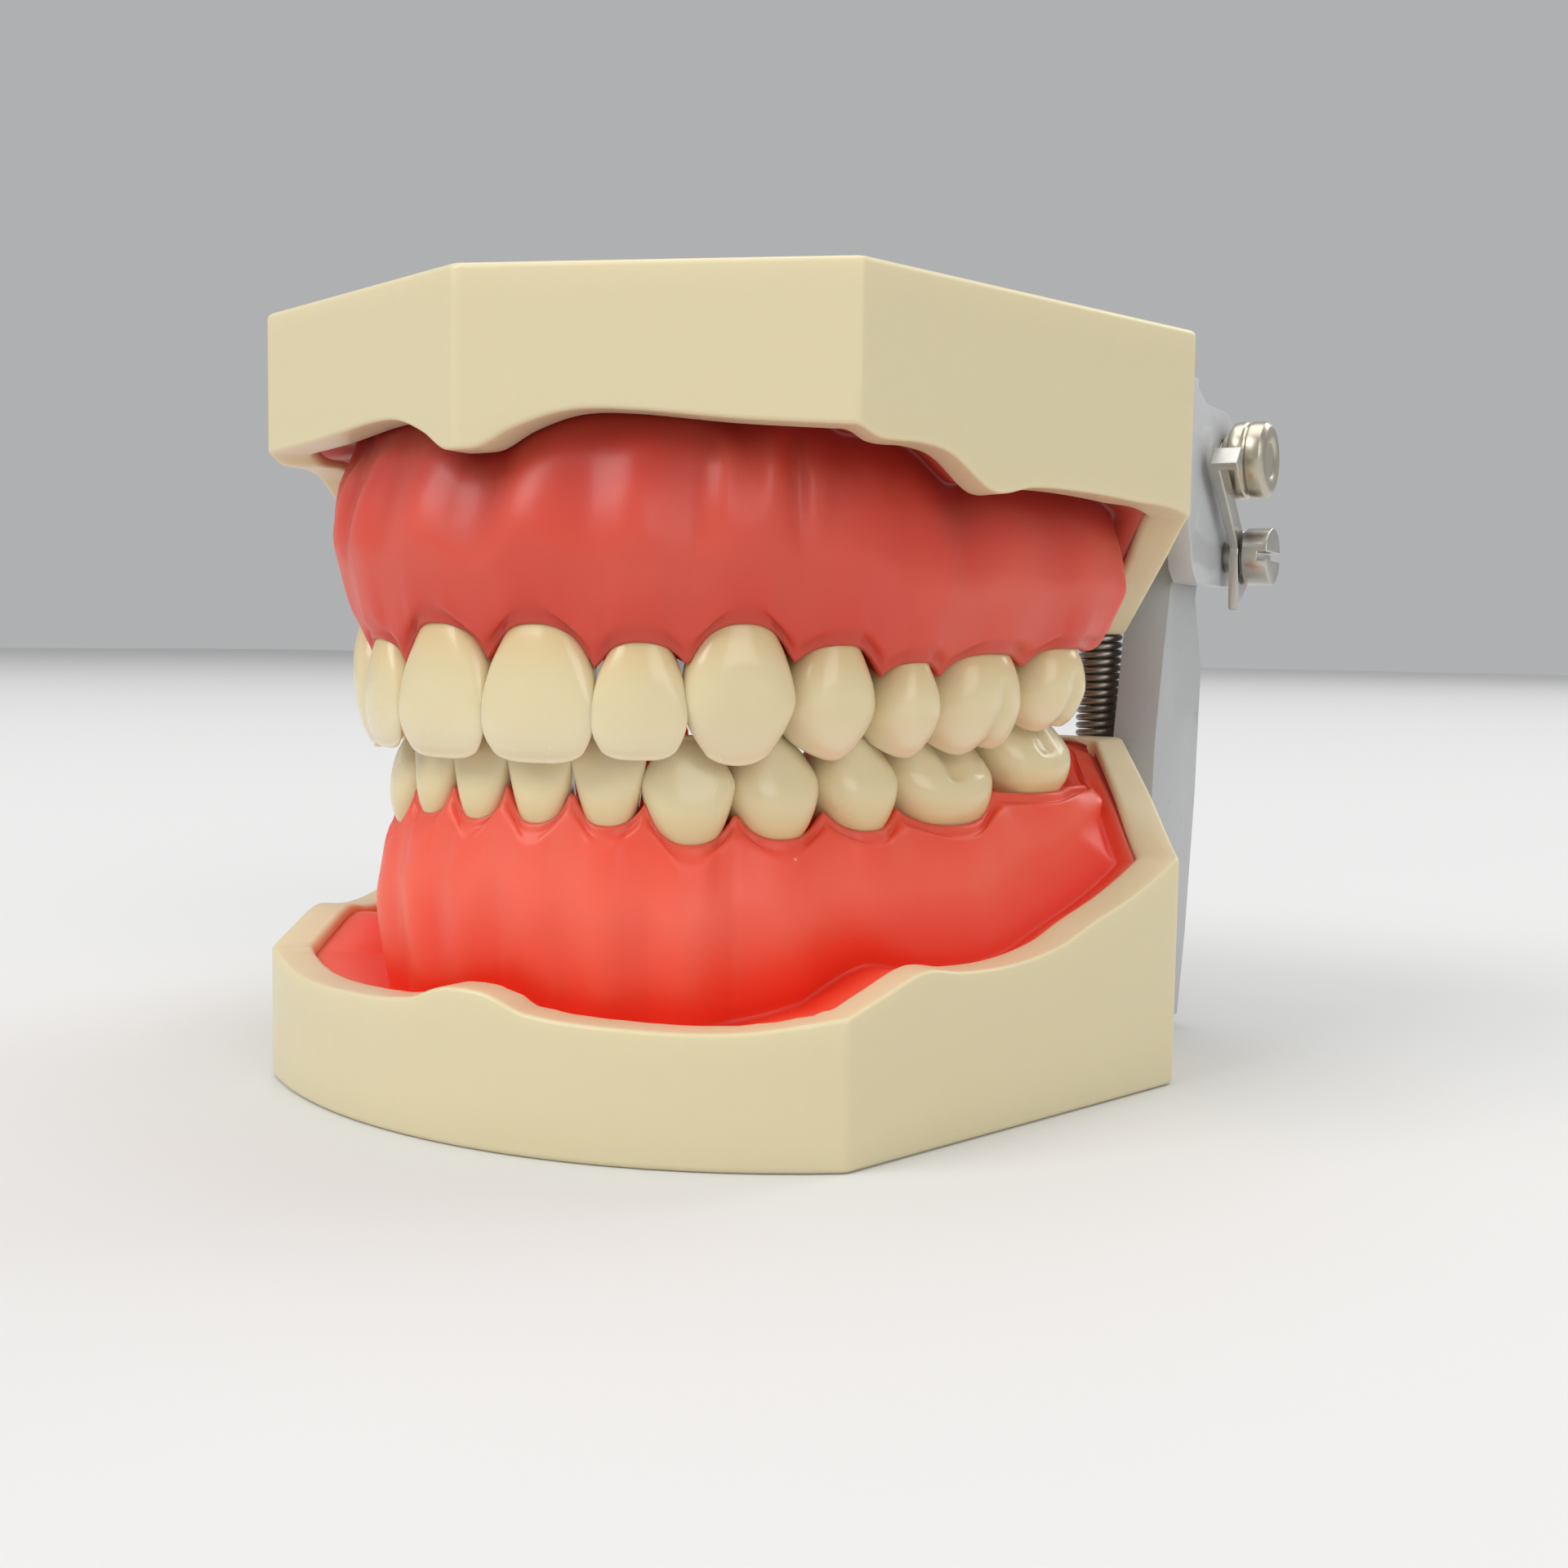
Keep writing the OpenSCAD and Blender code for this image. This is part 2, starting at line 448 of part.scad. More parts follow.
cheek_outline = concat(
    [[base_back, upper_plate_low + 0.5], [base_back + 3, cheek_low + 1.2], [base_back + 4.6, cheek_low],
        [latch_y + 3, cheek_low], [latch_y + 3.4, cheek_low + 1.5], [latch_y + 3, latch_z + 3.6]],
    arc_points(hinge_y, hinge_z, ear_r, 0, 90, 9),
    [[base_back + 6, hinge_z + ear_r], [base_back + 1.5, upper_plate_high], [base_back, upper_plate_high]]);
module side_plate(x, t, outline) translate([x, 0, 0]) rotate([90, 0, 90]) linear_extrude(t) polygon(outline);
module cross_hole(x, y, z, r, l) translate([x, y, z]) rotate([0, 90, 0]) cylinder(r = r, h = l, $fn = 48);
module lower_frame() color(paint_grey[1]) difference() {
    union() {
        translate([-post_out, base_back, plate_low]) cube([2 * post_out, plate_t, lower_plate_h]);
        both_sides() side_plate(post_in, post_w, post_outline);
    }
    cross_hole(-post_out - 1, hinge_y, hinge_z, rod_bore_r, 2 * post_out + 2);
    at_frame_screws(LOWER) frame_screw_hole(fit_gap);
    both_sides() spring_anchor_hole(spring_low_z);
}
module upper_frame() color(paint_grey[0]) difference() {
    union() {
        translate([-cheek_out, base_back, upper_plate_low])
            cube([2 * cheek_out, plate_t, upper_plate_high - upper_plate_low]);
        both_sides() side_plate(cheek_in, cheek_t, cheek_outline);
    }
    cross_hole(-cheek_out - 1, hinge_y, hinge_z, rod_bore_r, 2 * cheek_out + 2);
    both_sides() cross_hole(cheek_in - 1, latch_y, latch_z, latch_thread_r + fit_gap, cheek_t + 2);
    jaw(UPPER) at_frame_screws(UPPER) frame_screw_hole(fit_gap);
    both_sides() spring_anchor_hole(spring_high_z);
}

// Hinge rod through both posts and both cheeks, with a thumb knob on each end
knob_in = cheek_out + 1;
knob_skirt = 0.7;
rod_half = knob_in + 2.4;
module hinge_rod() color(steel) translate([-rod_half, hinge_y, hinge_z]) rotate([0, 90, 0])
    cylinder(d = rod_d, h = 2 * rod_half, $fn = 48);
module thumb_knob(s) color(steel) mirror([s == 0 ? 1 : 0, 0, 0])
    translate([knob_in, hinge_y, hinge_z]) rotate([90, 0, 90]) difference() {
        rotate_extrude($fn = 64) polygon([[0, -knob_skirt], [knob_d / 2 - 1, -knob_skirt], [knob_d / 2 - 1, 0],
            [knob_d / 2 - 0.4, 0], [knob_d / 2, 0.4], [knob_d / 2, knob_len - 0.6],
            [knob_d / 2 - 0.6, knob_len], [0, knob_len]]);
        translate([0, 0, -1]) cylinder(r = rod_d / 2 + hinge_gap / 2, h = rod_half - knob_in + 1 + fit_gap, $fn = 48);
    }

// Latch levers on shoulder screws in the cheeks
latch_x = cheek_out + 0.9;
latch_shoulder_r = 1.5;
latch_thread_r = 1.1;
latch_lean = atan2(hinge_z - 0.3 - latch_z, latch_y - (base_back + 4.8));
latch_half = 1.1;
module latch_lever(s) color(steel) mirror([s == 0 ? 1 : 0, 0, 0])
    translate([latch_x, latch_y, latch_z]) rotate([-latch_lean, 0, 0]) rotate([90, 0, 90]) difference() {
        union() {
            cylinder(r = 2.5, h = latch_t, $fn = 48);
            translate([-latch_len, -latch_half, 0]) cube([latch_len, 2 * latch_half, latch_t]);
            translate([-latch_len, -latch_half, 0]) cube([latch_t, 2 * latch_half, 2.6]);
            linear_extrude(latch_t) polygon([[1, 2.2], [-1.5, -2], [1.9, -5.2], [2.8, -1]]);
        }
        translate([0, 0, -1]) cylinder(r = latch_shoulder_r + hinge_gap, h = latch_t + 2, $fn = 48);
    }
module latch_screws() color(steel) both_sides() translate([cheek_in, latch_y, latch_z])
    rotate([90, 0, 90]) difference() {
        union() {
            cylinder(r = latch_thread_r, h = cheek_t, $fn = 32);
            translate([0, 0, cheek_t]) cylinder(r = latch_shoulder_r, h = 2.1, $fn = 32);
            translate([0, 0, cheek_t + 2.1]) cylinder(d = latch_head_d, h = 2.4, $fn = 48);
        }
        translate([-latch_head_d, -slot_w / 2, cheek_t + 3.6]) cube([2 * latch_head_d, slot_w, 2]);
    }

// Springs between headed pins in the two plates
spring_y = plate_back + 0.2 + spring_d / 2;
pin_r = 0.9;
pin_depth = 2.4;
pin_reach = spring_d + 0.5;
loop_r = pin_r + hinge_gap + wire_d / 2;
module spring_anchor_hole(z) translate([spring_x, plate_back + 1, z]) rotate([90, 0, 0])
    cylinder(r = pin_r + fit_gap, h = pin_depth + fit_gap + 1, $fn = 24);
module spring_pins(z) color(steel) both_sides() translate([spring_x, plate_back - pin_depth, z]) rotate([-90, 0, 0]) {
    cylinder(r = pin_r, h = pin_depth + pin_reach, $fn = 24);
    translate([0, 0, pin_depth + pin_reach]) cylinder(r = pin_r + 0.8, h = 0.8, $fn = 24);
}
module spring_loop(z) translate([0, 0, z]) rotate([90, 0, 0]) rotate_extrude($fn = 48)
    translate([loop_r, 0]) circle(d = wire_d, $fn = 16);
coil_low = spring_low_z + loop_r;
coil_high = spring_high_z - loop_r;
module spring(s) color(spring_steel) translate([(2 * s - 1) * spring_x, spring_y, 0]) {
    translate([0, 0, coil_low]) rotate_extrude($fn = 48)
        translate([spring_d / 2 - wire_d, 0]) square([wire_d, coil_high - coil_low]);
    for (z = [coil_low, coil_high - wire_d]) translate([0, 0, z]) difference() {
        cylinder(d = spring_d - wire_d, h = wire_d, $fn = 48);
        translate([-spring_d, -spring_d - wire_d, -1]) cube([2 * spring_d, spring_d, 3]);
        translate([-spring_d, wire_d, -1]) cube([2 * spring_d, spring_d, 3]);
    }
    for (z = [spring_low_z, spring_high_z]) spring_loop(z);
}

// Brass inserts with a threaded hole for a stand or holder
module mount_insert(j) color(brass) jaw(j) translate([0, insert_y, 0]) difference() {
    cylinder(d = insert_d, h = insert_len, $fn = 48);
    translate([0, 0, -1]) cylinder(r = insert_r, h = insert_len + 2, $fn = 48);
}

function tooth_node(j, i, s) = str(jaw_names[j], "_", side_names[s], "_", tooth_names[i]);
base(LOWER);  // lower_base
base(UPPER);  // upper_base
gum(LOWER);  // lower_gum
gum(UPPER);  // upper_gum
for (j = [UPPER, LOWER], s = [0, 1], i = [0:6])
    tooth(j, i, s);
tooth_screws(LOWER);  // lower_tooth_screws
tooth_screws(UPPER);  // upper_tooth_screws
lower_frame();
upper_frame();
frame_screws(LOWER);  // lower_frame_screws
frame_screws(UPPER);  // upper_frame_screws
hinge_rod();
thumb_knob(0);  // right_thumb_knob
thumb_knob(1);  // left_thumb_knob
latch_lever(0);  // right_latch_lever
latch_lever(1);  // left_latch_lever
latch_screws();
spring(0);  // right_spring
spring(1);  // left_spring
spring_pins(spring_low_z);  // lower_spring_pins
spring_pins(spring_high_z);  // upper_spring_pins
mount_insert(LOWER);  // lower_mount_insert
mount_insert(UPPER);  // upper_mount_insert
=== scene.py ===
"""Typodont model: cream bases, soft red gums, ivory teeth and a sprung steel hinge, in metres."""

import bisect
import functools
import logging
import math
from dataclasses import dataclass
from enum import Enum
from typing import Iterable, Sequence

import bmesh
import bpy
import numpy as np
from mathutils import Matrix, Vector

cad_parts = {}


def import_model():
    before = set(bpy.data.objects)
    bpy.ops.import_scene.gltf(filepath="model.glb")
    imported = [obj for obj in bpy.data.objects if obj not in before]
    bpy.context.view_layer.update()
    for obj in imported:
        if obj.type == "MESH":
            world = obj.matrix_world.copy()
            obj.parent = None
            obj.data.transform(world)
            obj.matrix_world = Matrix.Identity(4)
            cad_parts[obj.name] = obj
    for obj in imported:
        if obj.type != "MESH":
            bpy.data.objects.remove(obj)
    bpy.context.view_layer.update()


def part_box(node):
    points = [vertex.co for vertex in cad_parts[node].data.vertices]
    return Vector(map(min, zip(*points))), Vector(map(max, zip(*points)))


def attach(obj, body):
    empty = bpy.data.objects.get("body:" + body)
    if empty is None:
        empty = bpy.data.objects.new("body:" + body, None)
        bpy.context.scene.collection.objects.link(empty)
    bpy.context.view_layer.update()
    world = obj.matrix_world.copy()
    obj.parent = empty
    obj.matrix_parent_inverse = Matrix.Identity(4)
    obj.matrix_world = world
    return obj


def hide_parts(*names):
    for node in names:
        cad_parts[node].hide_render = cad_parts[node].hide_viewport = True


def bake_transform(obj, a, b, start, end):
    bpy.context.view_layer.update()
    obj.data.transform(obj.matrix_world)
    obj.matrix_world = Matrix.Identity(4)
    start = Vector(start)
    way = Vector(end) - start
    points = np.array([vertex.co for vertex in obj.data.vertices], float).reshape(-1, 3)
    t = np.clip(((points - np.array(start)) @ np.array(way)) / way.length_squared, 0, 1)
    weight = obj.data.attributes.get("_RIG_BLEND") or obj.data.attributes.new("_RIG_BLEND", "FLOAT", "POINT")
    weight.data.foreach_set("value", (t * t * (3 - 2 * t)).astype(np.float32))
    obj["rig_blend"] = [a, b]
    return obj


log = logging.getLogger("typodont")
MM = 0.001
Stops = Sequence[tuple[float, float]]


# ---------------------------------------------------------------- curves and numbers


def smooth(stops: Stops, x: float) -> float:
    """Reads a smooth curve through a few stops.

    Args:
        stops: Pairs of position and value, in rising order of position.
        x: Where to read the curve; it is held at the ends.

    Returns:
        The curve's value at x.
    """
    i = min(max(bisect.bisect_right(stops, (x, math.inf)) - 1, 0), len(stops) - 2)
    a, b, c, d = stops[max(i - 1, 0)], stops[i], stops[i + 1], stops[min(i + 2, len(stops) - 1)]
    w = c[0] - b[0]
    t = min(max((x - b[0]) / w, 0.0), 1.0)
    m, n = (c[1] - a[1]) / (c[0] - a[0]) * w, (d[1] - b[1]) / (d[0] - b[0]) * w
    return ((2 * t**3 - 3 * t**2 + 1) * b[1] + (t**3 - 2 * t**2 + t) * m
            + (3 * t**2 - 2 * t**3) * c[1] + (t**3 - t**2) * n)


def mix(a: float, b: float, t: float) -> float:
    """Returns the value a share t of the way from a to b."""
    return a + (b - a) * t


def ease(low: float, high: float, x: float) -> float:
    """Returns 0 below low and 1 above high, with a smooth step between."""
    t = min(max((x - low) / (high - low), 0.0), 1.0)
    return t * t * (3 - 2 * t)


def power(v: float, e: float) -> float:
    """Returns v to the power 2/e with its sign kept, for squared-off ovals."""
    return math.copysign(abs(v) ** (2 / e), v)


def through(points: Sequence[Sequence[float]], t: float) -> list[float]:
    """Reads a smooth path through points of any size.

    Args:
        points: The path's points.
        t: Place on the path, counted in points from the first.

    Returns:
        The point there.
    """
    i = min(max(int(t), 0), len(points) - 2)
    f = t - i
    p0, p1, p2, p3 = (points[max(i - 1, 0)], points[i], points[i + 1],
                      points[min(i + 2, len(points) - 1)])
    out = []
    for a, b, c, d in zip(p0, p1, p2, p3):
        m, n = 0.42 * (c - a), 0.42 * (d - b)
        out.append((2 * f**3 - 3 * f**2 + 1) * b + (f**3 - 2 * f**2 + f) * m
                   + (3 * f**2 - 2 * f**3) * c + (f**3 - f**2) * n)
    return out


# ---------------------------------------------------------------- shaders


class Value:
    """A shader socket that takes part in Python arithmetic."""

    def __init__(self, shader: "Shader", socket: bpy.types.NodeSocket) -> None:
        """Keeps the socket and the shader that it belongs to."""
        self.shader = shader
        self.socket = socket

    def math(self, operation: str, *others: "Value | float") -> "Value":
        """Adds a Math node.

        Args:
            operation: The node's operation.
            *others: Its second and third values.

        Returns:
            The node's result.
        """
        return self.shader.add("ShaderNodeMath", {"operation": operation}, self, *others)

    def __add__(self, other: "Value | float") -> "Value":
        """Returns the sum."""
        return self.math("ADD", other)

    def __sub__(self, other: "Value | float") -> "Value":
        """Returns the difference."""
        return self.math("SUBTRACT", other)

    def __mul__(self, other: "Value | float") -> "Value":
        """Returns the product."""
        return self.math("MULTIPLY", other)

    def __rsub__(self, other: float) -> "Value":
        """Returns other less this."""
        return self.shader.add("ShaderNodeMath", {"operation": "SUBTRACT"}, other, self)

    __radd__ = __add__
    __rmul__ = __mul__

    def clamp(self) -> "Value":
        """Returns the value held between 0 and 1."""
        return self.shader.add("ShaderNodeClamp", {}, self)

    def band(self, low: float, high: float) -> "Value":
        """Returns 0 below low, 1 above high and a smooth step between."""
        return self.shader.add("ShaderNodeMapRange", {"interpolation_type": "SMOOTHSTEP"},
                               self, low, high, 0.0, 1.0)


class Shader:
    """One material and the nodes that it is built from."""

    def __init__(self, name: str) -> None:
        """Starts an empty material called name with one Principled shader."""
        self.material = bpy.data.materials.new(name)
        self.material.use_nodes = True
        self.tree = self.material.node_tree
        self.tree.nodes.clear()
        self.skin = self.tree.nodes.new("ShaderNodeBsdfPrincipled")
        end = self.tree.nodes.new("ShaderNodeOutputMaterial")
        self.tree.links.new(self.skin.outputs[0], end.inputs[0])
        self.place = self.add("ShaderNodeTexCoord", {}, output="Object")

    def link(self, target: bpy.types.NodeSocket, value: "Value | float | Sequence[float]") -> None:
        """Feeds a socket with a link or a constant."""
        if isinstance(value, Value):
            self.tree.links.new(value.socket, target)
        elif isinstance(value, (int, float)) and hasattr(target.default_value, "__len__"):
            target.default_value = [value] * len(target.default_value)
        else:
            target.default_value = value

    def add(self, kind: str, settings: dict, *values, output: "str | int" = 0, **named) -> Value:
        """Adds any node.

        Args:
            kind: The node's type.
            settings: Its settings by name.
            *values: Links or constants for its first sockets, in order.
            output: The output that is wanted.
            **named: Links or constants for sockets by name, with _ for a space.

        Returns:
            The wanted output.
        """
        node = self.tree.nodes.new(kind)
        for key, value in settings.items():
            setattr(node, key, value)
        sockets = [s for s in node.inputs if s.enabled]
        for socket, value in zip(sockets, values):
            self.link(socket, value)
        for key, value in named.items():
            self.link(next(s for s in sockets if s.name == key.replace("_", " ")), value)
        outs = [s for s in node.outputs if s.enabled]
        return Value(self, outs[output] if isinstance(output, int)
                     else next(s for s in outs if s.name == output))

    def noise(self, scale: float, detail: float = 3.0, stretch: Sequence[float] = (1, 1, 1)) -> Value:
        """Returns noise on Object coordinates, with scale in waves per metre."""
        place = self.add("ShaderNodeMapping", {}, Vector=self.place, Scale=stretch)
        return self.add("ShaderNodeTexNoise", {}, Vector=place, Scale=scale, Detail=detail)

    def tint(self, factor: "Value | float", a, b) -> Value:
        """Returns colour a turned towards colour b by factor."""
        a = a if isinstance(a, Value) else (*a, 1.0)
        b = b if isinstance(b, Value) else (*b, 1.0)
        node = self.tree.nodes.new("ShaderNodeMix")
        node.data_type = "RGBA"
        self.link(node.inputs["Factor"], factor)
        colours = [s for s in node.inputs if s.type == "RGBA"]
        self.link(colours[0], a)
        self.link(colours[1], b)
        return Value(self, next(s for s in node.outputs if s.type == "RGBA"))

    def bump(self, height: Value, depth: float, strength: float = 1.0) -> None:
        """Raises the surface by height times depth metres."""
        bumped = self.add("ShaderNodeBump", {}, Height=height, Strength=strength, Distance=depth)
        self.put("Normal", bumped)

    def put(self, socket: str, value) -> None:
        """Feeds one of the Principled shader's sockets."""
        if isinstance(value, tuple) and len(value) == 3 and "Radius" not in socket:
            value = (*value, 1.0)
        self.link(self.skin.inputs[socket], value)


@dataclass(frozen=True)
class Finish:
    """Base of every finish: a name and a method that makes the material once."""

    name: str

    def paint(self, shader: Shader) -> None:
        """Builds the nodes; each finish has its own."""
        raise NotImplementedError

    def material(self) -> bpy.types.Material:
        """Returns the finish's material, made on first use."""
        found = bpy.data.materials.get(self.name)
        if found:
            return found
        shader = Shader(self.name)
        self.paint(shader)
        return shader.material


@dataclass(frozen=True)
class BaseResin(Finish):
    """Cream cast resin with faint flow streaks and small stains."""

    name: str = "cream_resin"
    colour: tuple[float, float, float] = (0.765, 0.68, 0.45)
    warm: tuple[float, float, float] = (0.71, 0.6, 0.35)

    def paint(self, shader: Shader) -> None:
        """Builds the resin's nodes."""
        streak = shader.noise(60, 4, (0.35, 0.35, 3.0))
        cloud = shader.noise(35, 3)
        stain = shader.noise(90, 5).band(0.66, 0.78)
        colour = shader.tint(streak * 0.35 + cloud * 0.3, self.colour, self.warm)
        colour = shader.tint(stain * 0.25, colour, (0.62, 0.52, 0.28))
        shader.put("Base Color", colour)
        grain = shader.noise(900, 3)
        shader.put("Roughness", cloud * 0.14 + grain * 0.08 + 0.24)
        shader.bump(shader.noise(220, 4) + grain * 0.12, 0.00008, 0.5)
        shader.put("Subsurface Weight", 0.22)
        shader.put("Subsurface Radius", (0.004, 0.003, 0.0015))
        shader.put("Subsurface Scale", 0.5)
        shader.put("IOR", 1.5)


@dataclass(frozen=True)
class GumSilicone(Finish):
    """Soft translucent silicone: a red that a painted highlight pales on its ridges, bulge and margins, and
    that painted shade darkens in the creases.
    """

    crease_shade: tuple[float, float, float]
    body: tuple[float, float, float]
    pale: tuple[float, float, float]

    def paint(self, shader: Shader) -> None:
        """Builds the silicone's nodes."""
        cloud = shader.noise(70, 3)
        haze = shader.noise(260, 5)
        # Painted light: the first attribute is a painted highlight that pales the red on the ridges, the
        # bulge and the margins; the second is painted shade that darkens it in the fold under the rim and
        # the crease at the necks.
        worn = shader.add("ShaderNodeAttribute", {"attribute_name": "worn"}, output="Fac")
        fold = shader.add("ShaderNodeAttribute", {"attribute_name": "fold"}, output="Fac")
        colour = shader.tint((cloud.band(0.35, 0.7) * 0.3 + worn * 0.75).clamp(), self.body, self.pale)
        colour = shader.tint((fold * 0.85).clamp(), colour, self.crease_shade)
        cells = {"Vector": shader.place, "Scale": 620.0}
        near = shader.add("ShaderNodeTexVoronoi", {}, output="Distance", **cells)
        chance = shader.add("ShaderNodeTexVoronoi", {}, output="Color", **cells).math("GREATER_THAN", 0.93)
        speck = (1 - near.band(0.04, 0.12)) * chance
        shader.put("Base Color", shader.tint(speck * 0.6, colour, (0.85, 0.6, 0.52)))
        shader.put("Roughness", haze * 0.16 + cloud * 0.1 + 0.3)
        shader.bump(shader.noise(180, 4) + haze * 0.15 + speck * 0.5, 0.00012, 0.6)
        shader.put("Subsurface Weight", 0.55)
        shader.put("Subsurface Radius", (0.006, 0.0016, 0.001))
        shader.put("Subsurface Scale", 0.6)
        shader.put("Coat Weight", 0.12)
        shader.put("Coat Roughness", 0.22)
        shader.put("IOR", 1.42)


@dataclass(frozen=True)
class ToothResin(Finish):
    """Ivory tooth resin: paler towards the edge, warm at the neck, with faint lines and a soft gloss."""

    name: str = "tooth_ivory"
    body: tuple[float, float, float] = (0.79, 0.68, 0.415)
    neck: tuple[float, float, float] = (0.72, 0.5, 0.22)
    edge: tuple[float, float, float] = (0.83, 0.75, 0.55)

    def paint(self, shader: Shader) -> None:
        """Builds the tooth's nodes."""
        neck = shader.add("ShaderNodeAttribute", {"attribute_name": "neck"}, output="Fac")
        pit = shader.add("ShaderNodeAttribute", {"attribute_name": "pit"}, output="Fac")
        cloud = shader.noise(160, 3)
        lines = shader.noise(420, 3, (1, 1, 0.18))
        colour = shader.tint((1 - neck).band(0.55, 1.0) * 0.7, self.body, self.edge)
        colour = shader.tint(neck.band(0.55, 1.05) * 0.75, colour, self.neck)
        colour = shader.tint((cloud * 0.3 + lines * 0.12).clamp(), colour, (0.74, 0.63, 0.37))
        # Painted shade: the pits and grooves of the biting surface turn dark brown.
        colour = shader.tint((pit * 0.6).clamp(), colour, (0.55, 0.36, 0.15))
        shader.put("Base Color", colour)
        shader.put("Roughness", cloud * 0.1 + lines * 0.08 + 0.16)
        shader.bump(lines * 0.5 + shader.noise(300, 2), 0.00004, 0.6)
        shader.put("Subsurface Weight", 0.35)
        shader.put("Subsurface Radius", (0.003, 0.0022, 0.0012))
        shader.put("Subsurface Scale", 0.5)
        shader.put("Coat Weight", 0.25)
        shader.put("Coat Roughness", 0.08)
        shader.put("IOR", 1.5)


@dataclass(frozen=True)
class CastPaint(Finish):
    """Grey enamel on cast metal, with a fine orange peel, cloudy tone and small dark metallic chips."""

    colour: tuple[float, float, float]

    def paint(self, shader: Shader) -> None:
        """Builds the paint's nodes."""
        peel = shader.noise(1400, 2)
        cloud = shader.noise(90, 4)
        chip = shader.noise(380, 6).band(0.7, 0.76)
        shader.put("Base Color", shader.tint(chip * 0.5, shader.tint(
            cloud * 0.4, self.colour, tuple(c * 0.82 for c in self.colour)), (0.2, 0.2, 0.2)))
        shader.put("Roughness", cloud * 0.2 + peel * 0.1 + 0.3)
        shader.put("Metallic", chip * 0.6)
        shader.bump(peel + cloud * 0.6, 0.00008, 0.6)
        shader.put("Coat Weight", 0.2)


@dataclass(frozen=True)
class Metal(Finish):
    """Bare metal with turning marks, smudges and fine scratches."""

    name: str = "polished_steel"
    colour: tuple[float, float, float] = (0.56, 0.54, 0.5)
    rough: float = 0.16
    dull: float = 0.3

    def paint(self, shader: Shader) -> None:
        """Builds the metal's nodes."""
        marks = shader.noise(2600, 2, (6.0, 0.6, 0.6))
        smudge = shader.noise(240, 5)
        dark = tuple(c * 0.55 for c in self.colour)
        shader.put("Base Color", shader.tint(smudge.band(0.4, 0.75) * self.dull, self.colour, dark))
        shader.put("Metallic", 1.0)
        shader.put("Roughness", smudge * 0.22 + marks * 0.12 + self.rough)
        shader.bump(marks, 0.00001, 0.5)


STEEL = Metal()
# The knob's warm tint is a painted reflection of the cream base in the polished steel.
KNOB_STEEL = Metal("turned_steel", (0.58, 0.53, 0.42), 0.14, 0.45)
SPRING_WIRE = Metal("spring_wire", (0.4, 0.37, 0.33), 0.24, 0.4)
BRASS = Metal("brass", (0.62, 0.44, 0.16), 0.2, 0.35)
RESIN = BaseResin()
TOOTH = ToothResin()
# Each gum's colours are its painted crease shade, its body red and its painted highlight.
UPPER_GUM = GumSilicone("upper_silicone", (0.22, 0.006, 0.003), (0.66, 0.055, 0.03), (0.76, 0.15, 0.1))
LOWER_GUM = GumSilicone("lower_silicone", (0.88, 0.028, 0.004), (0.92, 0.085, 0.04), (0.93, 0.2, 0.13))
UPPER_PAINT = CastPaint("upper_paint", (0.6, 0.61, 0.62))
# The lower frame has the same grey paint as the upper one; this darker copy is painted shade.
LOWER_PAINT_SHADED = CastPaint("lower_paint", (0.46, 0.47, 0.47))


# ---------------------------------------------------------------- pieces


def finish_piece(bm: bmesh.types.BMesh, name: str, finish: Finish, body: str, nodes: Iterable[str],
                 scale: float = MM) -> bpy.types.Object:
    """Turns a bmesh into a piece that rides on a body and stands for CAD nodes.

    Args:
        bm: The shape, which is freed.
        name: The piece's name.
        finish: Its finish.
        body: The body that it rides on, or nothing where it is then blended between two.
        nodes: The CAD nodes that it replaces.
        scale: Metres per unit of the bmesh.

    Returns:
        The piece.
    """
    bmesh.ops.remove_doubles(bm, verts=bm.verts, dist=1e-5)
    bmesh.ops.recalc_face_normals(bm, faces=bm.faces)
    bmesh.ops.scale(bm, vec=(scale, scale, scale), verts=bm.verts)
    mesh = bpy.data.meshes.new(name)
    for face in bm.faces:
        face.smooth = True
    bm.to_mesh(mesh)
    bm.free()
    piece = bpy.data.objects.new(name, mesh)
    bpy.context.scene.collection.objects.link(piece)
    mesh.materials.append(finish.material())
    if body:
        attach(piece, body)
    nodes = list(nodes)
    if nodes:
        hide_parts(*nodes)
    log.info("%s: %d faces", name, len(mesh.polygons))
    return piece


def globe(turns: int, rings: int,
          *shades: str) -> tuple[bmesh.types.BMesh, list[tuple[bmesh.types.BMVert, int, int]]]:
    """Makes a sheet that a shape then wraps into a closed globe, whose seam and poles merge.

    Args:
        turns: Vertices round it.
        rings: Rings between its two poles.
        *shades: Names of the numbers that each vertex carries for its finish.

    Returns:
        The bmesh, and each vertex with its turn and ring; ring 0 is the low pole, rings + 1 the high one.
    """
    bm = bmesh.new()
    for shade in shades:
        bm.verts.layers.float.new(shade)
    bmesh.ops.create_grid(bm, x_segments=turns, y_segments=rings + 1, size=0.5)
    return bm, [(v, round((v.co.x + 0.5) * turns) % turns, round((v.co.y + 0.5) * (rings + 1)))
                for v in bm.verts]


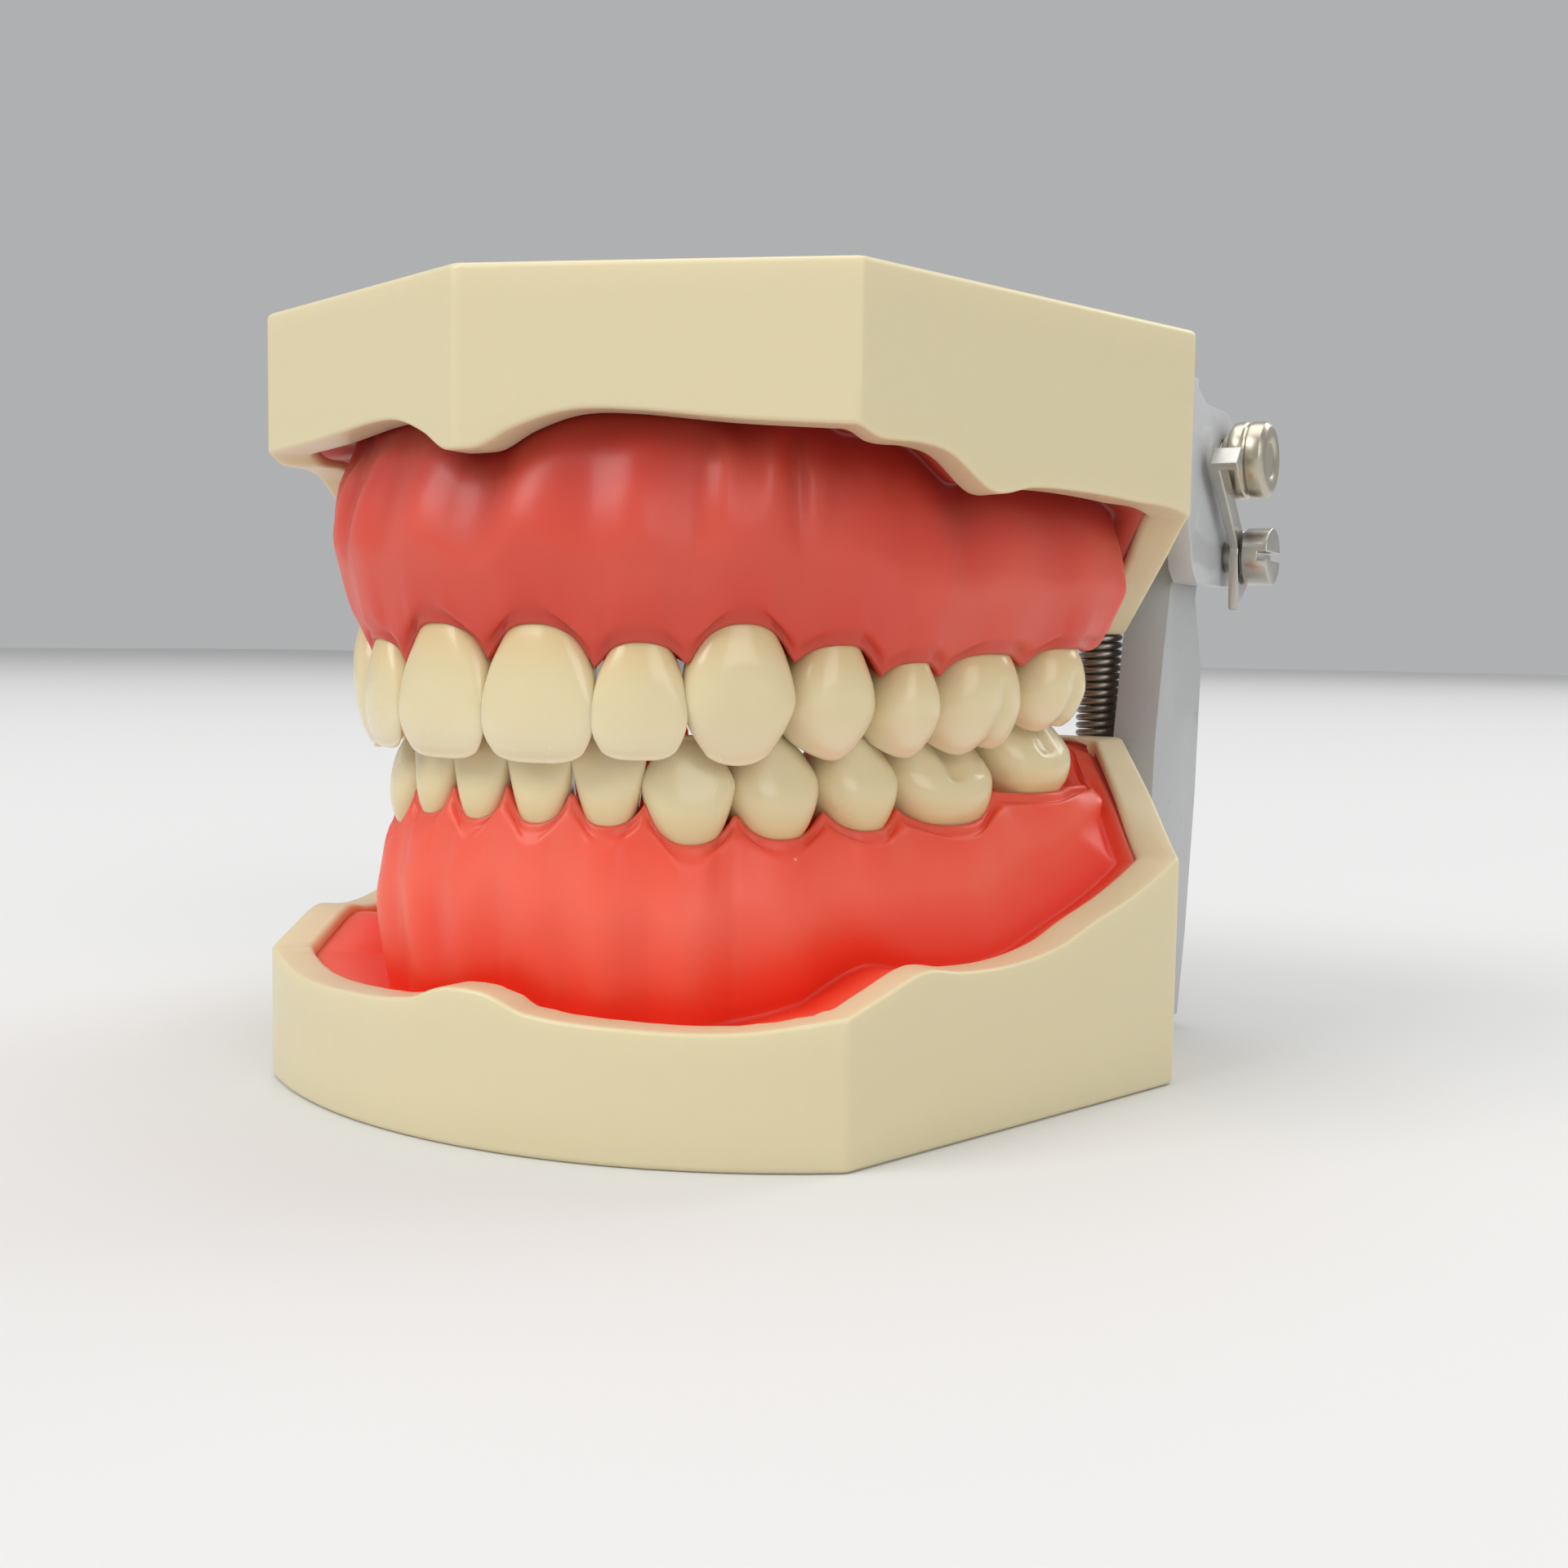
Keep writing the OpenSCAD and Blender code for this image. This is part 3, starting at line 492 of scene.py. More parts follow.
def softened(node: str, name: str, finish: Finish, body: str, radius: float,
             segments: int = 3, angle: float = 32.0) -> bpy.types.Object:
    """Copies a CAD node with its sharp edges rounded over.

    Args:
        node: The CAD node.
        name: The piece's name.
        finish: Its finish.
        body: The body that it rides on.
        radius: Width of the rounded edges in millimetres.
        segments: Segments across each rounded edge.
        angle: Edges sharper than this many degrees are rounded.

    Returns:
        The piece.
    """
    bm = bmesh.new()
    bm.from_mesh(bpy.data.objects[node].data)
    bmesh.ops.remove_doubles(bm, verts=bm.verts, dist=1e-6)
    bmesh.ops.dissolve_limit(bm, angle_limit=math.radians(1.0), verts=bm.verts, edges=bm.edges)
    piece = finish_piece(bm, name, finish, body, [node], 1.0)
    for polygon in piece.data.polygons:
        polygon.use_smooth = True
    bevel = piece.modifiers.new("edges", "BEVEL")
    bevel.width, bevel.segments = radius * MM, segments
    bevel.limit_method, bevel.angle_limit = "ANGLE", math.radians(angle)
    bevel.use_clamp_overlap, bevel.harden_normals = True, True
    return piece


# ---------------------------------------------------------------- jaws


class Side(Enum):
    """The model's own right and left."""

    RIGHT = -1
    LEFT = 1


@dataclass(frozen=True)
class ToothSize:
    """One tooth's sizes in millimetres."""

    name: str
    width: float
    crown: float
    depth: float
    root_y: float
    root_r: float
    stand: float = 0.0


@dataclass(frozen=True)
class JawPlan:
    """One jaw's sizes in millimetres, with heights counted from its own base plate."""

    name: str
    tip: float
    inset: float
    palate: float
    gum_over: float
    teeth: tuple[ToothSize, ...]
    front_rim: Stops
    side_rim: Stops
    front_points: tuple[tuple[float, float], ...]
    fold_depth: float = 1.0
    ridges: tuple[float, ...] = ()
    spread: float = 0.0
    arch_front: float = 25.5
    arch_c2: float = 0.01502
    arch_c4: float = 0.00002635
    model_h: float = 62.0
    canine: tuple[float, float] = (26.6, -18.9)
    corner: tuple[float, float] = (38.4, 18.2)
    back: tuple[float, float] = (29.0, 31.0)
    rim_wall: float = 3.2
    floor: float = 7.0
    back_wall: float = 12.0
    tongue_half: float = 16.0
    root_bottom: float = 9.4

    @property
    def upper(self) -> bool:
        """Whether this is the upper jaw."""
        return self.name == "upper"

    @property
    def body(self) -> str:
        """The jaw's body."""
        return f"{self.name}_jaw"

    def world(self, x: float, y: float, h: float) -> Vector:
        """Returns the place in the model's frame of a point h above the jaw's plate."""
        return Vector((x, y, self.model_h - h if self.upper else h))

    def arch(self, x: float, d: float = 0.0) -> Vector:
        """Returns the arch's point at x, moved d towards the tongue."""
        slope = 2 * self.arch_c2 * x + 4 * self.arch_c4 * x**3
        line = Vector((x, self.arch_c2 * x**2 + self.arch_c4 * x**4 - self.arch_front))
        return line + Vector((-slope, 1.0)).normalized() * (d + self.inset)

    def tip_of(self, index: int) -> float:
        """Returns the height of a tooth's tip."""
        return self.tip + self.teeth[index].stand

    def margin_of(self, index: int) -> float:
        """Returns the height of the gum's edge on a tooth."""
        return self.tip_of(index) - self.teeth[index].crown

    def contacts(self) -> list[float]:
        """Returns where along X each tooth meets the next, from the midline back."""
        found = [0.0]
        for tooth in self.teeth:
            start, low, high = self.arch(found[-1]), found[-1], found[-1] + 14
            for _ in range(30):
                half = (low + high) / 2
                short = (self.arch(half) - start).length < tooth.width
                low, high = (half, high) if short else (low, half)
            found.append(low)
        return found

    def seats(self) -> list[tuple[Vector, Vector, Vector]]:
        """Returns each tooth's place, its direction away from the midline and towards the tongue."""
        stops = self.contacts()
        out = []
        for a, b in zip(stops, stops[1:]):
            pa, pb = self.arch(a), self.arch(b)
            along = (pb - pa).normalized()
            out.append(((pa + pb) / 2, along, Vector((-along.y, along.x))))
        return out

    def outline(self) -> list[Vector]:
        """Returns the base's plan outline, anticlockwise."""
        side = [Vector(p) for p in (self.canine, self.corner, self.back)]
        other = [Vector((-p.x, p.y)) for p in reversed(side)]
        return [Vector(p) for p in self.front_points] + side + other

    def rim(self, p: Vector) -> float:
        """Returns the rim's height at a point of the outline."""
        if p.y < self.canine[1]:
            return smooth(self.front_rim, abs(p.x) / self.canine[0])
        side = smooth(self.side_rim, (p.y - self.canine[1]) / (self.back[1] - self.canine[1]))
        if p.y > self.corner[1] + 5:
            side = mix(self.back_wall, side, ease(self.tongue_half, self.tongue_half + 2.5, abs(p.x)))
        return side


def inset_outline(points: Sequence[Vector], d: float) -> list[Vector]:
    """Moves a convex outline inwards.

    Args:
        points: The outline, anticlockwise.
        d: How far it moves.

    Returns:
        The new outline, with as many points.
    """
    out = []
    n = len(points)
    for i in range(n):
        a, b, c = points[i - 1], points[i], points[(i + 1) % n]
        u, v = (b - a).normalized(), (c - b).normalized()
        q, s = b + Vector((-u.y, u.x)) * d, b + Vector((-v.y, v.x)) * d
        cross = u.x * v.y - u.y * v.x
        t = ((s - q).x * v.y - (s - q).y * v.x) / cross
        out.append(q + u * t)
    return out


def sample_outline(points: Sequence[Vector], counts: Sequence[int], radius: float,
                   arc: int = 6) -> list[Vector]:
    """Walks round an outline with its corners rounded.

    Args:
        points: The outline.
        counts: Points along each edge.
        radius: Radius of the corners.
        arc: Points round each corner.

    Returns:
        The points of the walk.
    """
    out = []
    n = len(points)
    for i in range(n):
        a, b, c = points[i - 1], points[i], points[(i + 1) % n]
        cut = min(radius, (b - a).length / 3, (c - b).length / 3)
        start, end = b + (a - b).normalized() * cut, b + (c - b).normalized() * cut
        out += [start.lerp(b, t).lerp(b.lerp(end, t), t) for t in (k / arc for k in range(arc + 1))]
        far = points[(i + 2) % n]
        cut_next = min(radius, (c - b).length / 3, (far - c).length / 3)
        stop = c + (b - c).normalized() * cut_next
        out += [end.lerp(stop, k / counts[i]) for k in range(1, counts[i])]
    return out


@dataclass
class Base:
    """A cast base: a plate with a rounded, scalloped rim round the gum's pocket."""

    plan: JawPlan
    step: float = 0.45
    corner_r: float = 0.45
    outer_r: float = 0.35
    inner_r: float = 0.55
    foot_r: float = 0.5
    screw_head: tuple[float, float] = (2.1, 2.5)
    insert: tuple[float, float] = (3.05, 5.1)
    insert_y: float = 4.0

    def build(self) -> bpy.types.Object:
        """Builds the base with its screw holes and replaces the CAD base."""
        plan = self.plan
        outer = plan.outline()
        inner = inset_outline(outer, plan.rim_wall)
        counts = [max(2, round((outer[(i + 1) % len(outer)] - p).length / self.step))
                  for i, p in enumerate(outer)]
        walk_out = sample_outline(outer, counts, self.corner_r)
        walk_in = sample_outline(inner, counts, self.corner_r * 1.6)
        rows = self.section()
        bm, places = globe(len(walk_out), len(rows))
        for v, turn, ring in places:
            if ring in (0, len(rows) + 1):
                v.co = plan.world(0, 2, 0 if ring == 0 else plan.floor + 0.2)
                continue
            across, low, share, drop = rows[ring - 1]
            p = walk_out[turn].lerp(walk_in[turn], across / plan.rim_wall)
            q = walk_out[turn]
            rim = plan.rim(q)
            v.co = plan.world(p.x, p.y, low + share * (rim - drop - low) if share else low)
        piece = finish_piece(bm, f"{plan.name}_base_cast", RESIN, plan.body, [f"{plan.name}_base"])
        self.drill(piece)
        return piece

    def section(self) -> list[tuple[float, float, float, float]]:
        """Returns the wall's section: distance in, low height, share of the rise, drop from it."""
        wall, rows = self.plan.rim_wall, []
        arc = [math.pi / 2 * k / 4 for k in range(5)]
        rows += [(wall * 2.2, 0.0, 0.0, 0.0), (1.2, 0.0, 0.0, 0.0)]
        rows += [(self.foot_r * (1 - math.sin(a)), self.foot_r * (1 - math.cos(a)), 0.0, 0.0) for a in arc]
        rows += [(0.0, self.foot_r, s, self.outer_r) for s in (0.2, 0.4, 0.6, 0.8)]
        rows += [(self.outer_r * (1 - math.cos(a)), 0.0, 1.0, self.outer_r * (1 - math.sin(a)))
                 for a in arc]
        rows += [(mix(self.outer_r, wall - self.inner_r, s), 0.0, 1.0, 0.0) for s in (0.33, 0.66)]
        rows += [(wall - self.inner_r * (1 - math.sin(a)), 0.0, 1.0, self.inner_r * (1 - math.cos(a)))
                 for a in arc]
        rows += [(wall, 0.0, 1.0, 2.2), (wall, self.plan.floor + 0.2, 0.0, 0.0)]
        return rows

    def drill(self, piece: bpy.types.Object) -> None:
        """Cuts the counterbores of the tooth screws and the insert's seat into the plate."""
        plan = self.plan
        cutter = bmesh.new()
        holes = [(p + n * t.root_y, *self.screw_head) for t, (p, _, n) in zip(plan.teeth, plan.seats())]
        holes += [(Vector((-p.x, p.y)), r, h) for p, r, h in holes]
        holes.append((Vector((0, self.insert_y)), *self.insert))
        for p, r, h in holes:
            made = bmesh.ops.create_cone(cutter, cap_ends=True, cap_tris=False, segments=40, radius1=r,
                                         radius2=r, depth=2 * h)
            bmesh.ops.translate(cutter, vec=plan.world(p.x, p.y, 0), verts=made["verts"])
        bmesh.ops.scale(cutter, vec=(MM, MM, MM), verts=cutter.verts)
        mesh = bpy.data.meshes.new("drill")
        cutter.to_mesh(mesh)
        cutter.free()
        tool = bpy.data.objects.new("drill", mesh)
        bpy.context.scene.collection.objects.link(tool)
        cut = piece.modifiers.new("holes", "BOOLEAN")
        cut.object, cut.operation, cut.solver = tool, "DIFFERENCE", "MANIFOLD"
        graph = bpy.context.evaluated_depsgraph_get()
        drilled = bpy.data.meshes.new_from_object(piece.evaluated_get(graph), depsgraph=graph)
        piece.modifiers.clear()
        piece.data = drilled
        bpy.data.objects.remove(tool)
        drilled.set_sharp_from_angle(angle=math.radians(40))


# ---------------------------------------------------------------- teeth


@dataclass(frozen=True)
class CrownForm:
    """How a kind of crown is shaped, as curves against the share of the way from tip to neck."""

    half_width: Stops
    face: Stops
    tongue: Stops
    cusps: tuple[tuple[float, float, float], ...] = ()
    slope: float = 0.8
    blunt: float = 1.0
    edge_drop: float = 0.0
    edge_power: float = 4.0
    squareness: float = 2.5
    narrowing: float = 0.2
    grooves: tuple[tuple[float, float, float], ...] = ()
    lobes: float = 0.0


FORMS = {
    "upper_incisor": CrownForm(
        ((0, 0.4), (0.05, 0.45), (0.14, 0.48), (0.3, 0.49), (0.5, 0.477), (0.72, 0.425), (0.88, 0.355),
         (1, 0.3), (1.2, 0.28)),
        ((0, 0.06), (0.06, 0.01), (0.2, -0.045), (0.45, -0.085), (0.7, -0.085), (0.88, -0.045), (1, 0.0),
         (1.2, 0.06)),
        ((0, 0.15), (0.06, 0.2), (0.2, 0.28), (0.45, 0.44), (0.7, 0.68), (0.88, 0.83), (1, 0.85),
         (1.2, 0.82)),
        edge_drop=1.0, edge_power=3.6, lobes=0.05),
    "lower_incisor": CrownForm(
        ((0, 0.42), (0.05, 0.455), (0.14, 0.475), (0.3, 0.468), (0.5, 0.43), (0.72, 0.375), (0.9, 0.32),
         (1, 0.285), (1.2, 0.26)),
        ((0, 0.12), (0.06, 0.08), (0.2, 0.03), (0.45, -0.02), (0.7, -0.05), (0.88, -0.03), (1, 0.01),
         (1.2, 0.06)),
        ((0, 0.24), (0.06, 0.3), (0.2, 0.38), (0.45, 0.52), (0.7, 0.72), (0.88, 0.84), (1, 0.86),
         (1.2, 0.82)),
        edge_drop=0.4, lobes=0.04),
    "upper_canine": CrownForm(
        ((0, 0.29), (0.05, 0.365), (0.12, 0.425), (0.25, 0.472), (0.42, 0.49), (0.6, 0.472), (0.8, 0.41),
         (1, 0.32), (1.2, 0.29)),
        ((0, 0.1), (0.06, 0.05), (0.2, -0.02), (0.45, -0.085), (0.7, -0.1), (0.88, -0.06), (1, -0.01),
         (1.2, 0.05)),
        ((0, 0.2), (0.06, 0.26), (0.2, 0.36), (0.45, 0.52), (0.7, 0.74), (0.88, 0.86), (1, 0.87),
         (1.2, 0.84)),
        edge_drop=1.5, edge_power=2.0, squareness=2.2, narrowing=0.26, lobes=-0.05),
    "lower_canine": CrownForm(
        ((0, 0.27), (0.05, 0.35), (0.12, 0.415), (0.25, 0.465), (0.42, 0.482), (0.6, 0.46), (0.8, 0.4),
         (1, 0.32), (1.2, 0.28)),
        ((0, 0.16), (0.06, 0.11), (0.2, 0.03), (0.45, -0.06), (0.7, -0.1), (0.88, -0.07), (1, -0.02),
         (1.2, 0.05)),
        ((0, 0.28), (0.06, 0.33), (0.2, 0.42), (0.45, 0.56), (0.7, 0.76), (0.88, 0.87), (1, 0.88),
         (1.2, 0.84)),
        edge_drop=1.2, edge_power=1.9, squareness=2.2, narrowing=0.28, lobes=-0.05),
    "upper_premolar": CrownForm(
        ((0, 0.3), (0.05, 0.37), (0.14, 0.43), (0.3, 0.475), (0.46, 0.482), (0.65, 0.445), (0.85, 0.37),
         (1, 0.31), (1.2, 0.28)),
        ((0, 0.16), (0.05, 0.1), (0.14, 0.05), (0.3, 0.0), (0.5, -0.045), (0.7, -0.05), (0.88, -0.01),
         (1, 0.03), (1.2, 0.08)),
        ((0, 0.8), (0.05, 0.86), (0.14, 0.91), (0.3, 0.955), (0.5, 0.975), (0.75, 0.96), (1, 0.9),
         (1.2, 0.85)),
        cusps=((0.04, 0.22, 0.0), (0.02, 0.72, 1.5)), slope=0.62, blunt=1.4, squareness=2.15,
        lobes=-0.05),
    "lower_premolar": CrownForm(
        ((0, 0.28), (0.05, 0.35), (0.14, 0.41), (0.3, 0.462), (0.46, 0.475), (0.65, 0.45), (0.85, 0.38),
         (1, 0.31), (1.2, 0.28)),
        ((0, 0.24), (0.05, 0.17), (0.14, 0.11), (0.3, 0.03), (0.5, -0.04), (0.7, -0.06), (0.88, -0.03),
         (1, 0.02), (1.2, 0.08)),
        ((0, 0.82), (0.05, 0.87), (0.14, 0.91), (0.3, 0.94), (0.5, 0.95), (0.75, 0.93), (1, 0.88),
         (1.2, 0.84)),
        cusps=((-0.04, 0.34, -0.6), (0.04, 0.78, 1.0)), slope=0.62, blunt=1.2, squareness=2.15,
        lobes=-0.05),
    "upper_molar": CrownForm(
        ((0, 0.37), (0.05, 0.415), (0.14, 0.45), (0.3, 0.475), (0.46, 0.478), (0.65, 0.45), (0.85, 0.4),
         (1, 0.355), (1.2, 0.33)),
        ((0, 0.14), (0.05, 0.09), (0.14, 0.05), (0.3, 0.01), (0.5, -0.03), (0.7, -0.035), (0.88, -0.01),
         (1, 0.03), (1.2, 0.07)),
        ((0, 0.84), (0.05, 0.89), (0.14, 0.93), (0.3, 0.965), (0.5, 0.98), (0.75, 0.965), (1, 0.92),
         (1.2, 0.88)),
        cusps=((-0.2, 0.2, 0.0), (0.24, 0.22, 0.3), (-0.17, 0.74, 1.2), (0.24, 0.76, 1.6)), slope=0.6,
        blunt=1.3, squareness=2.4, narrowing=0.1, grooves=((0.06, 0.45, 0.85),)),
    "lower_molar": CrownForm(
        ((0, 0.38), (0.05, 0.42), (0.14, 0.452), (0.3, 0.474), (0.46, 0.478), (0.65, 0.455), (0.85, 0.405),
         (1, 0.355), (1.2, 0.33)),
        ((0, 0.26), (0.05, 0.2), (0.14, 0.14), (0.3, 0.06), (0.5, -0.01), (0.7, -0.04), (0.88, -0.02),
         (1, 0.03), (1.2, 0.07)),
        ((0, 0.84), (0.05, 0.88), (0.14, 0.92), (0.3, 0.95), (0.5, 0.96), (0.75, 0.945), (1, 0.9),
         (1.2, 0.86)),
        cusps=((-0.24, 0.32, -0.3), (0.14, 0.33, 0.1), (0.34, 0.42, 0.5), (-0.2, 0.78, 0.5),
               (0.22, 0.78, 0.6)),
        slope=0.6, blunt=1.3, squareness=2.4, narrowing=0.1, grooves=((-0.05, 0.6, 0.6),)),
}
KINDS = ("incisor", "incisor", "canine", "premolar", "premolar", "molar", "molar")


@dataclass
class Tooth:
    """One tooth, crown and root, drawn in its own seat."""

    plan: JawPlan
    index: int
    side: Side
    turns: int = 72
    crown_rings: int = 34
    cap_rings: int = 16
    root_rings: int = 8
    cusp_blend: float = 3.2
    rounding: float = 0.28

    @property
    def rings(self) -> int:
        """How many rings the tooth has between its poles."""
        return self.cap_rings + self.crown_rings + self.root_rings

    @property
    def size(self) -> ToothSize:
        """The tooth's sizes."""
        return self.plan.teeth[self.index]

    @property
    def form(self) -> CrownForm:
        """The tooth's kind of crown."""
        return FORMS[f"{self.plan.name}_{KINDS[self.index]}"]

    def section(self, s: float) -> tuple[float, float, float, float]:
        """Returns half width, outer face, tongue face and roundness at s of the way from tip to neck."""
        size, form = self.size, self.form
        a = smooth(form.half_width, s) * size.width
        lab, lin = smooth(form.face, s) * size.depth, smooth(form.tongue, s) * size.depth
        root = ease(1.0, 1.0 + 4.5 / size.crown, s)
        narrow = mix(0.9, 0.62, ease(1.2, 2.2, s))
        return (mix(a, size.root_r * narrow, root), mix(lab, size.root_y - size.root_r * narrow, root),
                mix(lin, size.root_y + size.root_r * narrow, root), root)

    def relief(self, x: float, y: float) -> float:
        """Returns how far the biting surface lies below the tip at a place on it."""
        size, form = self.size, self.form
        if not form.cusps:
            half = smooth(form.half_width, 0.14) * size.width
            lean = 1.12 if x > 0 else 0.92
            return form.edge_drop * lean * min(abs(x) / half, 1.15) ** form.edge_power
        total = 0.0
        for cx, cy, low in form.cusps:
            dx, dy = x - cx * size.width, y - cy * size.depth
            cone = math.sqrt(dx * dx + dy * dy + form.blunt**2) - form.blunt
            total += math.exp(-self.cusp_blend * (low + form.slope * cone))
        return -math.log(total) / self.cusp_blend + 0.12

    def local(self, turn: int, ring: int) -> tuple[float, float, float, float, float]:
        """Returns x, y, height, place from tip to neck and pit shade of one vertex."""
        size, form = self.size, self.form
        down = self.rings + 1 - ring
        angle = 2 * math.pi * turn / self.turns
        if down <= self.cap_rings:
            share, s = down / self.cap_rings, 0.0
        else:
            share, s = 1.0, (down - self.cap_rings) / self.crown_rings
            deepest = (self.plan.tip_of(self.index) - self.plan.root_bottom) / size.crown
            s = 1.05 * s**1.25 if s <= 1 else 1.05 + (s - 1) * self.crown_rings / self.root_rings * (
                deepest - 1.05)
        a, lab, lin, root = self.section(s)
        e = mix(form.squareness, 2.0, root)
        cx, cy = power(math.cos(angle), e), power(math.sin(angle), e)
        x = a * cx * (1 - form.narrowing * (1 - root) * cy) * share
        y = (lab + lin) / 2 + (lin - lab) / 2 * cy * share
        fade = 1 - ease(0.0, 0.62, s)
        relief = self.relief(x, y) * fade
        outer = (1 - root) * ease(-0.2, -0.8, cy)
        # pit gathers painted shade for the grooves and the hollows between the cusps.
        pit = 0.0
        for gx, amount, reach in form.grooves:
            line = math.exp(-(((x - gx * size.width) / 0.75) ** 2)) * outer
            line *= 1 - ease(reach * 0.7, reach, s)
            y += amount * line * (share if down <= self.cap_rings else 1.0)
            pit += 0.25 * line
        y -= form.lobes * outer * math.cos(2 * math.pi * x / size.width * 1.5) * ease(0, 0.3, s) * (
            1 - ease(0.6, 1.0, s))
        round_off = self.rounding
        if down <= self.cap_rings:
            round_off *= 1 - math.sqrt(max(0.0, 1 - share**4))
        if form.cusps and down <= self.cap_rings:
            pit += ease(1.1, 2.4, relief) * (1 - share**4)
        h = self.plan.tip_of(self.index) - s * size.crown - relief - round_off * (1 - ease(0.0, 0.3, s))
        return x, y, h, s, pit

    def build(self) -> bpy.types.Object:
        """Builds the tooth and replaces its CAD node."""
        bm, places = globe(self.turns, self.rings, "neck", "pit")
        neck, pits = bm.verts.layers.float["neck"], bm.verts.layers.float["pit"]
        p, along, inward = self.plan.seats()[self.index]
        shape = tooth_shape(self.plan, self.index)
        for v, turn, ring in places:
            x, y, h, s, v[pits] = shape[ring][turn]
            q = p + along * x + inward * y
            v.co = self.plan.world(q.x * self.side.value, q.y, h)
            v[neck] = min(s, 1.3)
        name = f"{self.plan.name}_{self.side.name.lower()}_{self.size.name}"
        return finish_piece(bm, f"{name}_tooth", TOOTH, self.plan.body, [name])


@functools.cache
def tooth_shape(plan: JawPlan, index: int) -> list[list[tuple[float, float, float, float, float]]]:
    """Returns every vertex of a tooth in its own seat, ring by ring; both sides of the jaw share it."""
    tooth = Tooth(plan, index, Side.LEFT)
    _, lab, lin, _ = tooth.section(0.0)
    mid = (lab + lin) / 2
    root = (0.0, tooth.size.root_y, plan.root_bottom, 2.0, 0.0)
    top = (0.0, mid, plan.tip_of(index) - tooth.relief(0.0, mid), 0.0, 0.0)
    rings = [[tooth.local(turn, ring) for turn in range(tooth.turns)]
             for ring in range(1, tooth.rings + 1)]
    return [[root] * tooth.turns, *rings, [top] * tooth.turns]


# ---------------------------------------------------------------- gums


@dataclass
class Gum:
    """A soft gum: skirt, fold, root swellings, scalloped margins, papillae and palate or mouth floor."""

    plan: JawPlan
    finish: Finish
    turns: int = 540
    centre_y: float = 6.0
    papilla: tuple[float, ...] = (2.6, 2.5, 2.4, 2.1, 1.7, 1.5, 1.3, 0.2)
    swell: tuple[float, ...] = (0.5, 0.5, 0.75, 0.35, 0.3, 0.2, 0.2)
    tongue_lift: float = 0.6
    neck_share: float = 0.93
    wall_gap: float = 2.6
    ridge_rise: float = 0.55
    ridge_width: float = 1.7
    notch: tuple[float, float] = (139.0, 149.0)
    palate_end: tuple[float, float] = (150.0, 165.0)

    def polar(self, p: Vector) -> float:
        """Returns the angle of a point round the gum's centre, from the front, in degrees."""
        return math.degrees(math.atan2(p.x, self.centre_y - p.y))

    def reach(self, outline: Sequence[Vector], phi: float) -> float:
        """Returns how far the outline lies from the centre in a direction."""
        u = Vector((math.sin(math.radians(phi)), -math.cos(math.radians(phi))))
        best = 1e9
        for i, a in enumerate(outline):
            b = outline[(i + 1) % len(outline)]
            n = Vector((b.y - a.y, a.x - b.x)).normalized()
            if n.dot(u) > 0.001:
                best = min(best, n.dot(a - Vector((0, self.centre_y))) / n.dot(u))
        return best

    def arch_reach(self, phi: float) -> float:
        """Returns how far the arch's outer line lies from the centre in a direction."""
        low, high = 0.0, 36.0
        for _ in range(26):
            half = (low + high) / 2
            low, high = (half, high) if self.polar(self.plan.arch(half)) < phi else (low, half)
        return (self.plan.arch(low) - Vector((0, self.centre_y))).length

    def necks(self) -> tuple[np.ndarray, np.ndarray]:
        """Returns the teeth's outer and tongue-side reach at their necks, for each half degree."""
        outer, inner = np.full(361, -1.0), np.full(361, 1e3)
        for i in range(len(self.plan.teeth)):
            tooth = Tooth(self.plan, i, Side.LEFT)
            p, along, inward = self.plan.seats()[i]
            a, lab, lin, _ = tooth.section(self.neck_share)
            form = tooth.form
            for t in (math.radians(k / 4) for k in range(1440)):
                cx, cy = power(math.cos(t), form.squareness), power(math.sin(t), form.squareness)
                q = p + along * (a * cx * (1 - form.narrowing * cy)) + inward * (
                    (lab + lin) / 2 + (lin - lab) / 2 * cy)
                r, phi = (q - Vector((0, self.centre_y))).length, abs(self.polar(q))
                cell = min(360, round(phi * 2))
                outer[cell], inner[cell] = max(outer[cell], r), min(inner[cell], r)
        grid = np.arange(361) / 2.0
        arch = np.array([self.arch_reach(g) for g in grid])
        gap = outer < 0
        outer[gap], inner[gap] = arch[gap] - 1.9, arch[gap] - 4.5
        outer = np.maximum(outer, arch - 1.9)
        kernel = np.exp(-((np.arange(-6, 7) / 2.2) ** 2))
        kernel /= kernel.sum()

        def blur(v: np.ndarray) -> np.ndarray:
            """Returns v blurred over about two degrees."""
            return np.convolve(np.concatenate([v[6:0:-1], v, v[-2:-8:-1]]), kernel, "valid")

        return blur(outer), blur(inner)

    def scallop(self, phi: float, stops: Sequence[float]) -> tuple[float, float, float, float]:
        """Returns the margin's height, the same without points, the swelling and how near a papilla is."""
        plan, last = self.plan, len(self.plan.teeth) - 1
        margins = [plan.margin_of(i) for i in range(last + 1)]
        for i in range(last + 1):
            if phi <= stops[i + 1]:
                mid, half = (stops[i] + stops[i + 1]) / 2, (stops[i + 1] - stops[i]) / 2
                t = (phi - mid) / half
                other = max(i - 1, 0) if t < 0 else min(i + 1, last)
                top = (margins[i] + margins[other]) / 2 + self.papilla[i if t < 0 else i + 1]
                return (mix(margins[i], top, abs(t) ** 2.6),
                        mix(margins[i], top, 0.5 - 0.5 * math.cos(math.pi * t)),
                        self.swell[i] * ((1 - t * t) ** 2 - 0.25), abs(t) ** 4)
        top = margins[last] + self.papilla[-1]
        return top, top, -0.25 * self.swell[last], ease(6, 0, phi - stops[-1])

